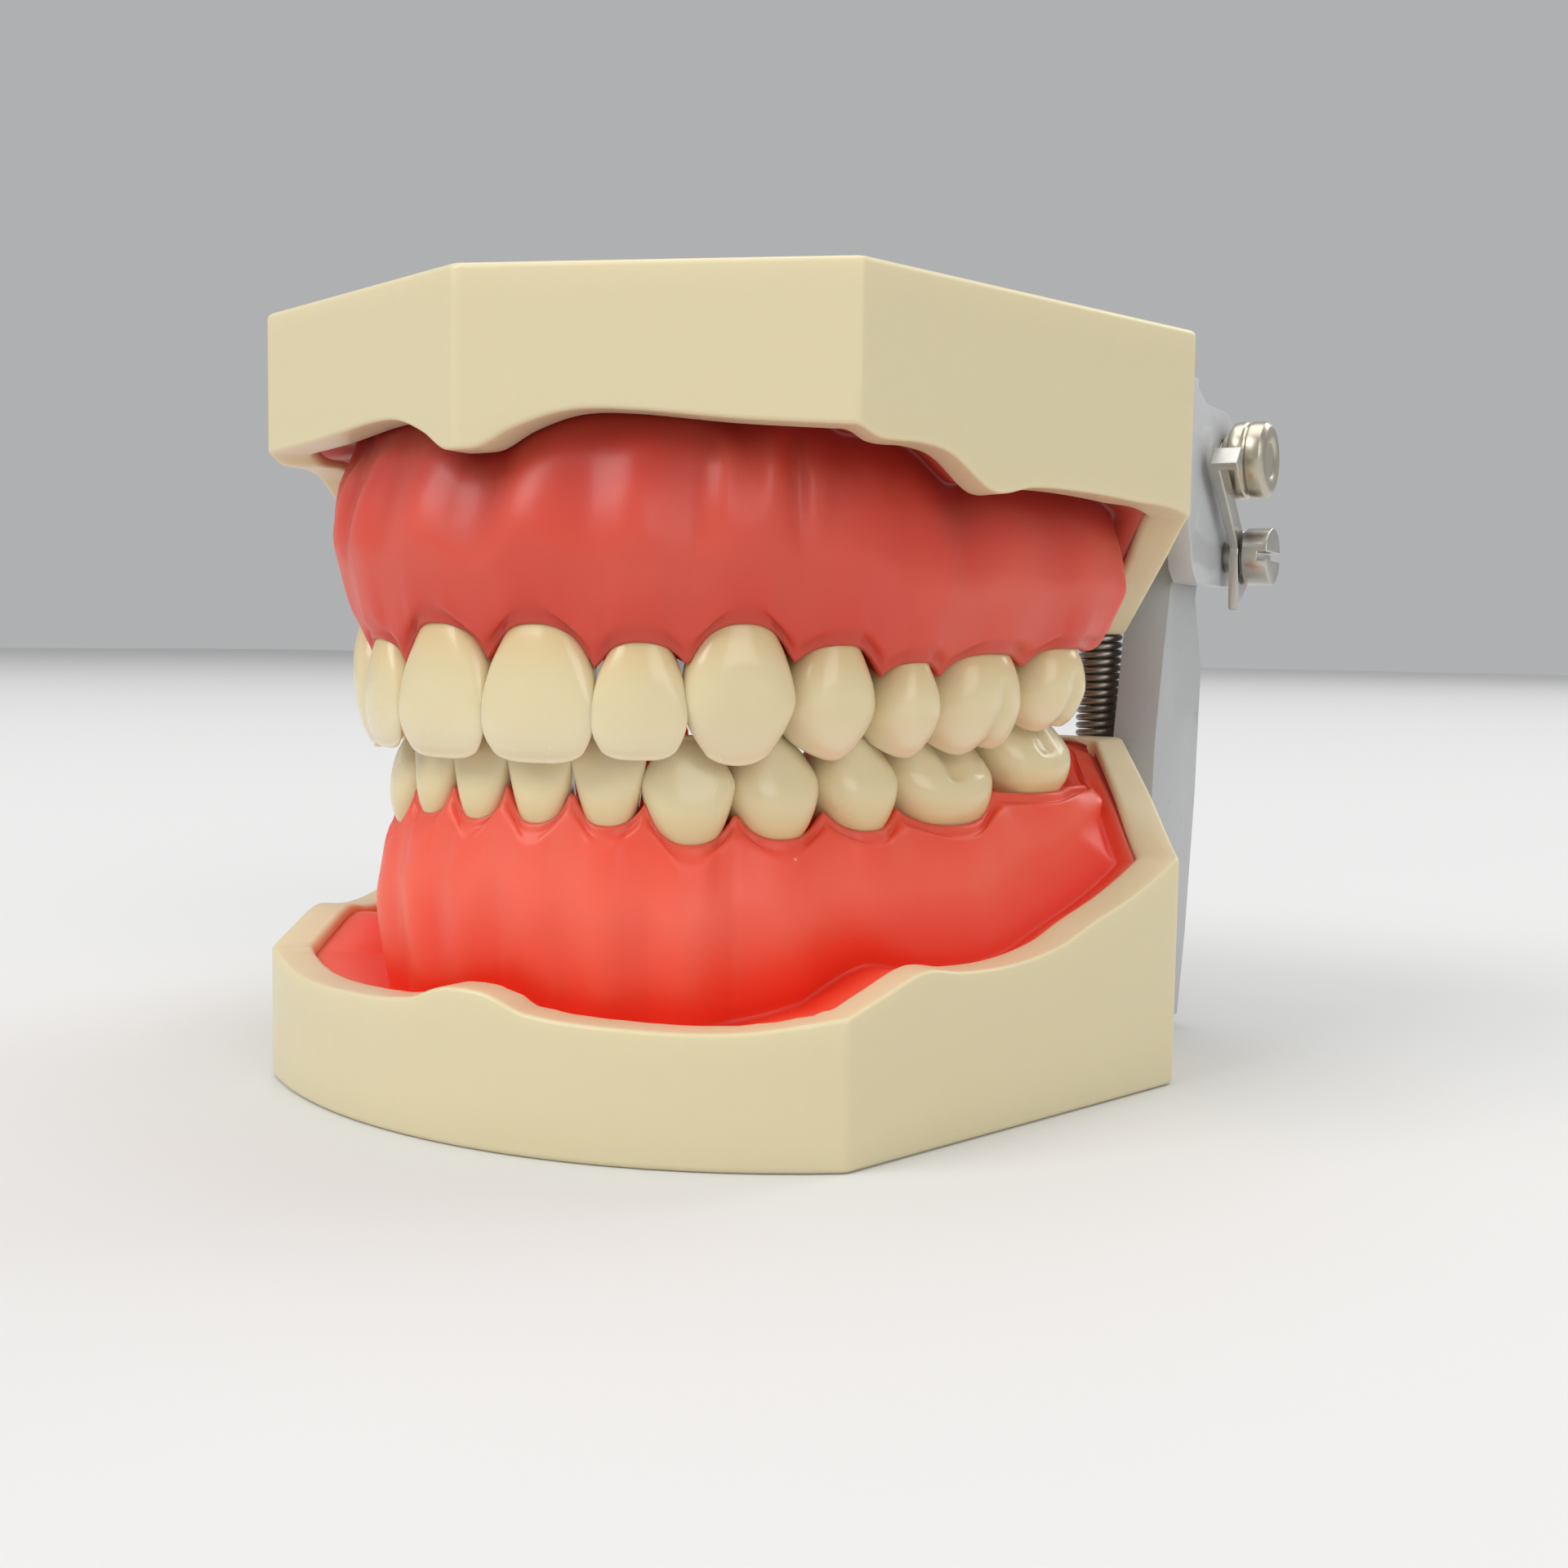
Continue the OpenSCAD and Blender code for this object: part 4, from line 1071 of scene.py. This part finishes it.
    def section(self, phi: float, stops: Sequence[float], outer: np.ndarray, inner: np.ndarray,
                walls: Sequence[Vector], outline: Sequence[Vector]) -> list[tuple[float, ...]]:
        """Draws the gum's section in one direction.

        Args:
            phi: The direction, in degrees from the front.
            stops: Directions of the teeth's contacts.
            outer: The necks' outer reach for each half degree.
            inner: The same on the tongue side.
            walls: The pocket's outline.
            outline: The base's outline.

        Returns:
            Reach, height, painted highlight and painted crease shade of each point, from the skirt to the
            middle.
        """
        plan = self.plan
        wall = self.reach(walls, phi)
        edge = self.reach(outline, phi)
        u = Vector((math.sin(math.radians(phi)), -math.cos(math.radians(phi))))
        p = Vector((0, self.centre_y)) + u * edge
        rim = plan.rim(p)
        lab = float(np.interp(phi * 2, np.arange(361), outer))
        lin = float(np.interp(phi * 2, np.arange(361), inner))
        arch = self.arch_reach(phi)
        behind = ease(stops[-1] - 4, stops[-1] + 6, phi)
        lab = mix(lab, min(lab, wall - self.wall_gap), behind)
        level = np.interp(np.abs(phi + np.arange(-4.0, 4.5)) * 2, np.arange(361), outer).mean()
        level = mix(float(level), lab, behind)
        arch = mix(arch, min(arch, wall - self.wall_gap), behind)
        lin = min(lin, lab - 2.5)
        sharp, soft, swell, tip = self.scallop(phi, stops)
        floor = ease(*self.notch, phi)
        low = mix(plan.palate, plan.back_wall - 0.4, ease(*self.palate_end, phi))
        top, soft = (mix(h, plan.back_wall + 0.4, floor) for h in (sharp, soft))
        face = min(arch + plan.gum_over + swell, mix(99.0, wall - 0.8, behind) if behind else 99.0)
        fold = min(face - plan.fold_depth, max(wall - 1.5, arch - 1.6), wall - 0.4)
        fold = mix(fold, wall - 1.8, plan.spread * ease(52, 88, phi))
        lip = max(lab + 0.3, level + 0.45)
        lift = self.tongue_lift * (1 - tip)
        ridge = sum(self.ridge_rise * math.exp(-(((phi - c) / self.ridge_width) ** 2)) for c in plan.ridges)

        def between(share: float) -> float:
            """Returns the height a share of the way from the rim to the margin."""
            return mix(rim - 0.9, soft, share)

        # Each row's third number is the painted highlight, strongest on the ridges, the bulge and the
        # margins; its fourth is painted shade in the fold under the rim and the crease round the necks.
        rows = [
            (wall - 0.02, plan.floor + 0.3, 0, 0.6), (wall - 0.02, rim - 1.5, 0, 0.6),
            (wall - 0.05, rim - 0.75, 0.5, 0.3), (mix(wall, fold, 0.35), rim - 0.75, 0.25, 0.4),
            (mix(wall, fold, 0.75), rim - 1.0, 0.0, 0.8), (fold, rim - 0.95, 0.0, 1.0),
            (mix(fold, face, 0.22) + 0.5 * ridge, between(0.1), 0.6 * ridge, 0.8),
            (mix(fold, face, 0.58) + ridge, between(0.24), 0.9 * ridge, 0.45),
            (mix(fold, face, 0.87) + 0.6 * ridge, between(0.4), 0.15 + 0.6 * ridge, 0.12),
            (face, between(0.56), 0.35, 0.0), (mix(face, lip, 0.3), between(0.72), 0.3, 0.0),
            (mix(face, lip, 0.7) + 0.1, between(0.87), 0.1, 0.0),
            (lip, top - 0.75, 0.05, 0.1), (lip - 0.18, top - 0.18, 0.2, 0.15),
            (lip - 0.5, top, 0.3, 0.3), (lip - 1.0, top - 0.15, 0.1, 0.6),
            (mix(lab, lin, 0.5), top - 0.7, 0, 0.7), (lin + 0.6, top - 0.1 + lift, 0.1, 0.5),
            (lin - 0.1, top + lift - 0.15, 0.3, 0.2), (lin - 0.7, top + lift - 0.9, 0.2, 0.0),
            (lin - 1.4, mix(low, top, 0.62), 0.2, 0.0), (lin - 2.4, mix(low, top, 0.32), 0.1, 0.0),
            (lin - 4.0, mix(low, top, 0.1), 0.0, 0.1), (0.62 * (lin - 3), low + 0.2, 0.0, 0.1),
            (0.3 * (lin - 3), low, 0.1, 0.0)]
        # On the pad behind the last tooth the painted highlight eases to 0.15 and the painted crease shade
        # fades out.
        pad = ease(2, 17, phi - stops[-1])
        if pad:
            for k in range(3, 19):
                r, h, worn, crease = rows[k]
                crown = rim - 0.75 + 0.5 * math.sin(math.pi * min(1.0, (wall - r) / 7))
                rows[k] = (r, mix(h, crown, pad), mix(worn, 0.15, pad), crease * (1 - pad))
        return rows

    def build(self) -> bpy.types.Object:
        """Builds the gum and replaces its CAD node."""
        plan = self.plan
        outline = plan.outline()
        walls = inset_outline(outline, plan.rim_wall)
        stops = [self.polar(plan.arch(x)) for x in plan.contacts()]
        stops[0] = 0.0
        outer, inner = self.necks()
        half = [self.section(360.0 * k / self.turns, stops, outer, inner, walls, outline)
                for k in range(self.turns // 2 + 1)]
        count = len(half[0])
        steps = [0.0, 1.0] + [1 + k / 3 for k in range(1, 3 * 4)] + [5 + k / 4 for k in range(4 * 11)]
        steps += [16 + k / 3 for k in range(3 * (count - 17) + 1)]
        # Each vertex carries a painted highlight and a painted crease shade for the finish.
        bm, places = globe(self.turns, len(steps), "worn", "fold")
        worn, fold = bm.verts.layers.float["worn"], bm.verts.layers.float["fold"]
        for v, turn, ring in places:
            angle = 360.0 * turn / self.turns
            k = turn if turn <= self.turns // 2 else self.turns - turn
            if ring in (0, len(steps) + 1):
                v.co = plan.world(0, self.centre_y, plan.floor + 0.3 if ring == 0 else plan.palate)
                continue
            r, h, w, f = through(half[k], steps[ring - 1])
            v.co = plan.world(r * math.sin(math.radians(angle)),
                              self.centre_y - r * math.cos(math.radians(angle)), h)
            v[worn], v[fold] = max(0.0, w), max(0.0, f)
        return finish_piece(bm, f"{plan.name}_gum_skin", self.finish, plan.body, [f"{plan.name}_gum"])


# ---------------------------------------------------------------- hardware


@dataclass
class Spring:
    """A close-wound extension spring with a loop on each pin."""

    side: Side
    wire: float = 0.6
    outer: float = 4.2
    loop: float = 1.3
    pitch: float = 0.72
    steps: int = 22
    stretch: tuple[float, float] = (11.0, 2.5)

    def build(self) -> bpy.types.Object:
        """Winds the coil, bends the loops and stretches it between the two jaws."""
        node = f"{self.side.name.lower()}_spring"
        low, high = (Vector(c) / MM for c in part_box(node))
        centre = (low + high) / 2
        bottom, top = low.z + self.wire / 2 + 2 * self.loop, high.z - self.wire / 2 - 2 * self.loop
        turns = round((top - bottom) / self.pitch)
        pitch = (top - bottom) / turns
        mean = (self.outer - self.wire) / 2
        bm = bmesh.new()
        ring = bmesh.ops.create_circle(bm, segments=8, radius=self.wire / 2)["verts"]
        bmesh.ops.rotate(bm, verts=ring, cent=(0, 0, 0), matrix=Matrix.Rotation(math.pi / 2, 3, "X"))
        bmesh.ops.translate(bm, vec=(centre.x + mean, centre.y, bottom), verts=ring)
        edges = list({e for v in ring for e in v.link_edges})
        bmesh.ops.spin(bm, geom=ring + edges, cent=(centre.x, centre.y, 0), axis=(0, 0, 1),
                       dvec=(0, 0, pitch / self.steps), angle=2 * math.pi, steps=self.steps)
        turn = bm.verts[:] + bm.edges[:] + bm.faces[:]
        for k in range(1, turns):
            copied = bmesh.ops.duplicate(bm, geom=turn)["geom"]
            bmesh.ops.translate(bm, vec=(0, 0, k * pitch),
                                verts=[v for v in copied if isinstance(v, bmesh.types.BMVert)])
        bmesh.ops.remove_doubles(bm, verts=bm.verts, dist=0.001)
        bmesh.ops.holes_fill(bm, edges=[e for e in bm.edges if e.is_boundary], sides=0)
        for z in (low.z + self.wire / 2 + self.loop, high.z - self.wire / 2 - self.loop):
            self.hook(bm, Vector((centre.x, centre.y, z)))
        piece = finish_piece(bm, f"{node}_coil", SPRING_WIRE, "", [node])
        start, end = ((centre.x * MM, centre.y * MM, (high.z - below) * MM) for below in self.stretch)
        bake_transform(piece, "lower_jaw", "upper_jaw", start=start, end=end)
        return piece

    def hook(self, bm: bmesh.types.BMesh, centre: Vector) -> None:
        """Bends one full loop round a pin."""
        ring = bmesh.ops.create_circle(bm, segments=8, radius=self.wire / 2)["verts"]
        bmesh.ops.translate(bm, vec=centre + Vector((self.loop, 0, 0)), verts=ring)
        edges = list({e for v in ring for e in v.link_edges})
        bmesh.ops.spin(bm, geom=ring + edges, cent=centre, axis=(0, 1, 0), angle=2 * math.pi, steps=32,
                       use_merge=True)


@dataclass
class ThumbKnob:
    """A turned barrel knob with rounded rims, a waist groove and a dished end."""

    side: Side

    def build(self) -> bpy.types.Object:
        """Turns the knob's section round the hinge axis and replaces the CAD knob."""
        node = f"{self.side.name.lower()}_thumb_knob"
        low, high = (Vector(c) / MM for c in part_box(node))
        r, length = (high.z - low.z) / 2, high.x - low.x
        profile = [(0.0, 0.0), (r - 1.1, 0.0), (r - 1.0, 0.12), (r - 1.0, 0.62), (r - 0.85, 0.7),
                   (r - 0.35, 0.72), (r - 0.08, 0.95), (r, 1.35), (r, 2.0), (r - 0.22, 2.15),
                   (r - 0.22, 2.4), (r, 2.55), (r, length - 1.0), (r - 0.1, length - 0.5),
                   (r - 0.45, length - 0.15), (r - 1.0, length - 0.02), (r - 1.7, length - 0.12),
                   (r - 2.0, length - 0.3), (0.0, length - 0.34)]
        bm = bmesh.new()
        s = self.side.value
        start = low.x if s > 0 else high.x
        centre = Vector((start, (low.y + high.y) / 2, (low.z + high.z) / 2))
        verts = [bm.verts.new(centre + Vector((s * x, 0, rad))) for rad, x in profile]
        edges = [bm.edges.new(pair) for pair in zip(verts, verts[1:])]
        bmesh.ops.spin(bm, geom=verts + edges, cent=centre, axis=(1, 0, 0), angle=2 * math.pi, steps=96,
                       use_merge=True)
        bmesh.ops.remove_doubles(bm, verts=bm.verts, dist=0.001)
        body = f"{self.side.name.lower()}_knob"
        piece = finish_piece(bm, f"{node}_turned", KNOB_STEEL, body, [node])
        bevel = piece.modifiers.new("edges", "BEVEL")
        bevel.width, bevel.segments, bevel.limit_method = 0.06 * MM, 2, "ANGLE"
        bevel.angle_limit = math.radians(28)
        return piece


@dataclass
class Hardware:
    """The frames, the hinge rod, the latches, the screws, the pins and the inserts."""

    frame_edge: float = 0.5
    steel_edge: float = 0.16

    def build(self) -> list[bpy.types.Object]:
        """Rounds and dresses every remaining CAD node."""
        # The lower frame gets the darker copy of the grey, which is painted shade.
        made = [softened(f"{jaw}_frame", f"{jaw}_frame_cast", paint, f"{jaw}_jaw", self.frame_edge)
                for jaw, paint in (("lower", LOWER_PAINT_SHADED), ("upper", UPPER_PAINT))]
        made.append(softened("hinge_rod", "hinge_rod_bar", STEEL, "lower_jaw", 0.3))
        for jaw in ("lower", "upper"):
            for part in ("tooth_screws", "frame_screws", "spring_pins"):
                made.append(softened(f"{jaw}_{part}", f"{jaw}_{part}_steel", STEEL, f"{jaw}_jaw",
                                     self.steel_edge))
            made.append(softened(f"{jaw}_mount_insert", f"{jaw}_mount_insert_brass", BRASS, f"{jaw}_jaw",
                                 0.2))
        made.append(softened("latch_screws", "latch_screws_steel", STEEL, "upper_jaw", 0.25))
        for side in ("right", "left"):
            made.append(softened(f"{side}_latch_lever", f"{side}_latch_lever_steel", STEEL, f"{side}_latch",
                                 self.steel_edge))
        return made


# ---------------------------------------------------------------- stage


@dataclass
class Studio:
    """Pale floor, soft lights and the camera."""

    azimuth: float = 28.601
    elevation: float = 4.5556
    distance: float = 0.168112
    target: tuple[float, float, float] = (0.0, 0.02, 0.023129)
    roll: float = 0.8367
    lens: float = 41.23

    def build(self) -> None:
        """Builds the floor, the lights, the world and the camera."""
        self.floor()
        self.light("key", (-0.9, -1.4, 1.6), 1.3, 24.0)
        self.light("fill", (1.6, -1.0, 0.9), 1.2, 9.0)
        self.light("top", (0.0, 0.3, 2.0), 1.8, 18.0)
        self.light("rim", (0.7, 1.6, 1.1), 0.8, 6.0)
        world = bpy.data.worlds.new("studio")
        world.use_nodes = True
        world.node_tree.nodes["Background"].inputs[0].default_value = (0.86, 0.87, 0.88, 1)
        world.node_tree.nodes["Background"].inputs[1].default_value = 0.5
        bpy.context.scene.world = world
        bpy.context.scene.view_settings.view_transform = "Standard"
        self.camera()

    def floor(self) -> None:
        """Lays a plain pale floor under the model."""
        bm = bmesh.new()
        bmesh.ops.create_grid(bm, x_segments=2, y_segments=2, size=3.0)
        mesh = bpy.data.meshes.new("floor")
        bm.to_mesh(mesh)
        bm.free()
        floor = bpy.data.objects.new("floor", mesh)
        shader = Shader("floor")
        shader.put("Base Color", (0.72, 0.72, 0.71))
        shader.put("Roughness", 0.75)
        mesh.materials.append(shader.material)
        bpy.context.scene.collection.objects.link(floor)

    def light(self, name: str, place: Sequence[float], size: float, power_w: float) -> None:
        """Hangs one soft square light that faces the model."""
        data = bpy.data.lights.new(name, "AREA")
        data.size, data.energy = size, power_w
        lamp = bpy.data.objects.new(name, data)
        lamp.location = place
        aim = Vector((0, 0.0, 0.03)) - Vector(place)
        lamp.rotation_euler = aim.to_track_quat("-Z", "Y").to_euler()
        bpy.context.scene.collection.objects.link(lamp)

    def camera(self) -> None:
        """Sets the camera."""
        az, el, roll = (math.radians(v) for v in (self.azimuth, self.elevation, self.roll))
        back = Vector((math.sin(az) * math.cos(el), -math.cos(az) * math.cos(el), math.sin(el)))
        right = Vector((math.cos(az), math.sin(az), 0))
        up = back.cross(right)
        right, up = (right * math.cos(roll) + up * math.sin(roll),
                     up * math.cos(roll) - right * math.sin(roll))
        data = bpy.data.cameras.new("camera")
        data.lens, data.sensor_width, data.clip_start = self.lens, 36.0, 0.005
        camera = bpy.data.objects.new("camera", data)
        turned = Matrix((right, up, back)).transposed().to_4x4()
        camera.matrix_world = Matrix.Translation(Vector(self.target) + back * self.distance) @ turned
        bpy.context.scene.collection.objects.link(camera)
        bpy.context.scene.camera = camera


# ---------------------------------------------------------------- the model


NAMES = ("central_incisor", "lateral_incisor", "canine", "first_premolar", "second_premolar", "first_molar",
         "second_molar")


def sizes(rows: Sequence[Sequence[float]]) -> tuple[ToothSize, ...]:
    """Names the rows of tooth sizes from the midline back."""
    return tuple(ToothSize(name, *row) for name, row in zip(NAMES, rows))


def front_arc(canine: tuple[float, float], front: float) -> tuple[tuple[float, float], ...]:
    """Returns the lower base's curved front between its canine corners."""
    rise = front + canine[1]
    radius = (canine[0] ** 2 + rise**2) / (2 * rise)
    half = math.asin(canine[0] / radius)
    angles = [k / 10 * half for k in range(-9, 10)]
    return tuple((radius * math.sin(a), radius * (1 - math.cos(a)) - front) for a in angles)


UPPER = JawPlan(
    name="upper", tip=34.4, inset=0.0, palate=13.0, gum_over=1.4,
    teeth=sizes([[8.8, 9.8, 7.0, 3.4, 2.2], [6.7, 8.2, 6.0, 3.3, 2.0, -0.4], [8.2, 10, 7.8, 3.8, 2.4],
                 [8.1, 8.6, 9.2, 4.5, 2.5], [6.4, 7.4, 9.2, 4.5, 2.4], [10.5, 8.1, 10.8, 5.2, 3.2],
                 [8.6, 7.0, 10.4, 5.1, 3.1, -1.6]]),
    front_rim=((0, 12.7), (0.06, 12.5), (0.15, 11.2), (0.28, 10.1), (0.42, 10), (0.72, 10.7), (1, 11.1)),
    side_rim=((0, 11.1), (0.04, 11.8), (0.12, 11.8), (0.18, 12.3), (0.27, 14.6), (0.36, 14), (0.46, 13.9),
              (0.6, 14.2), (0.74, 14.9), (0.84, 18.5), (1, 24.5)),
    front_points=((0.0, -28.4),), fold_depth=1.35, ridges=(33.0, 39.0, 45.0))
LOWER = JawPlan(
    name="lower", tip=29.65, inset=2.6, palate=11.0, gum_over=1.0,
    teeth=sizes([[5.5, 6.5, 5.8, 3.1, 1.8], [5.6, 6.5, 5.8, 3.0, 1.8], [6.7, 7.8, 6.8, 3.4, 2.2],
                 [7.8, 7.6, 7.8, 3.9, 2.4], [7.8, 7.3, 8.2, 4.1, 2.5], [12.2, 7.4, 10.2, 4.9, 3.2],
                 [10.8, 6.8, 9.8, 4.8, 3.2, 1.4]]),
    front_rim=((0, 11.6), (0.08, 11.4), (0.2, 10.3), (0.45, 9.8), (0.75, 9.8), (1, 10.9)),
    side_rim=((0, 10.9), (0.06, 11.9), (0.15, 13.2), (0.23, 12.7), (0.34, 12.6), (0.45, 13.4), (0.53, 14.8),
              (0.64, 16.6), (0.75, 19.2), (0.87, 23.8), (1, 28.2)),
    front_points=front_arc((26.6, -18.9), 27.6), spread=1.0)


def main() -> None:
    """Builds the model and the studio round it."""
    logging.basicConfig(level=logging.INFO, format="%(message)s")
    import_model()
    Studio().build()
    for plan, finish in ((UPPER, UPPER_GUM), (LOWER, LOWER_GUM)):
        Base(plan).build()
        Gum(plan, finish).build()
        for side in Side:
            for index in range(len(plan.teeth)):
                Tooth(plan, index, side).build()
    for side in Side:
        Spring(side).build()
        ThumbKnob(side).build()
    Hardware().build()


if __name__ == "__main__":
    main()
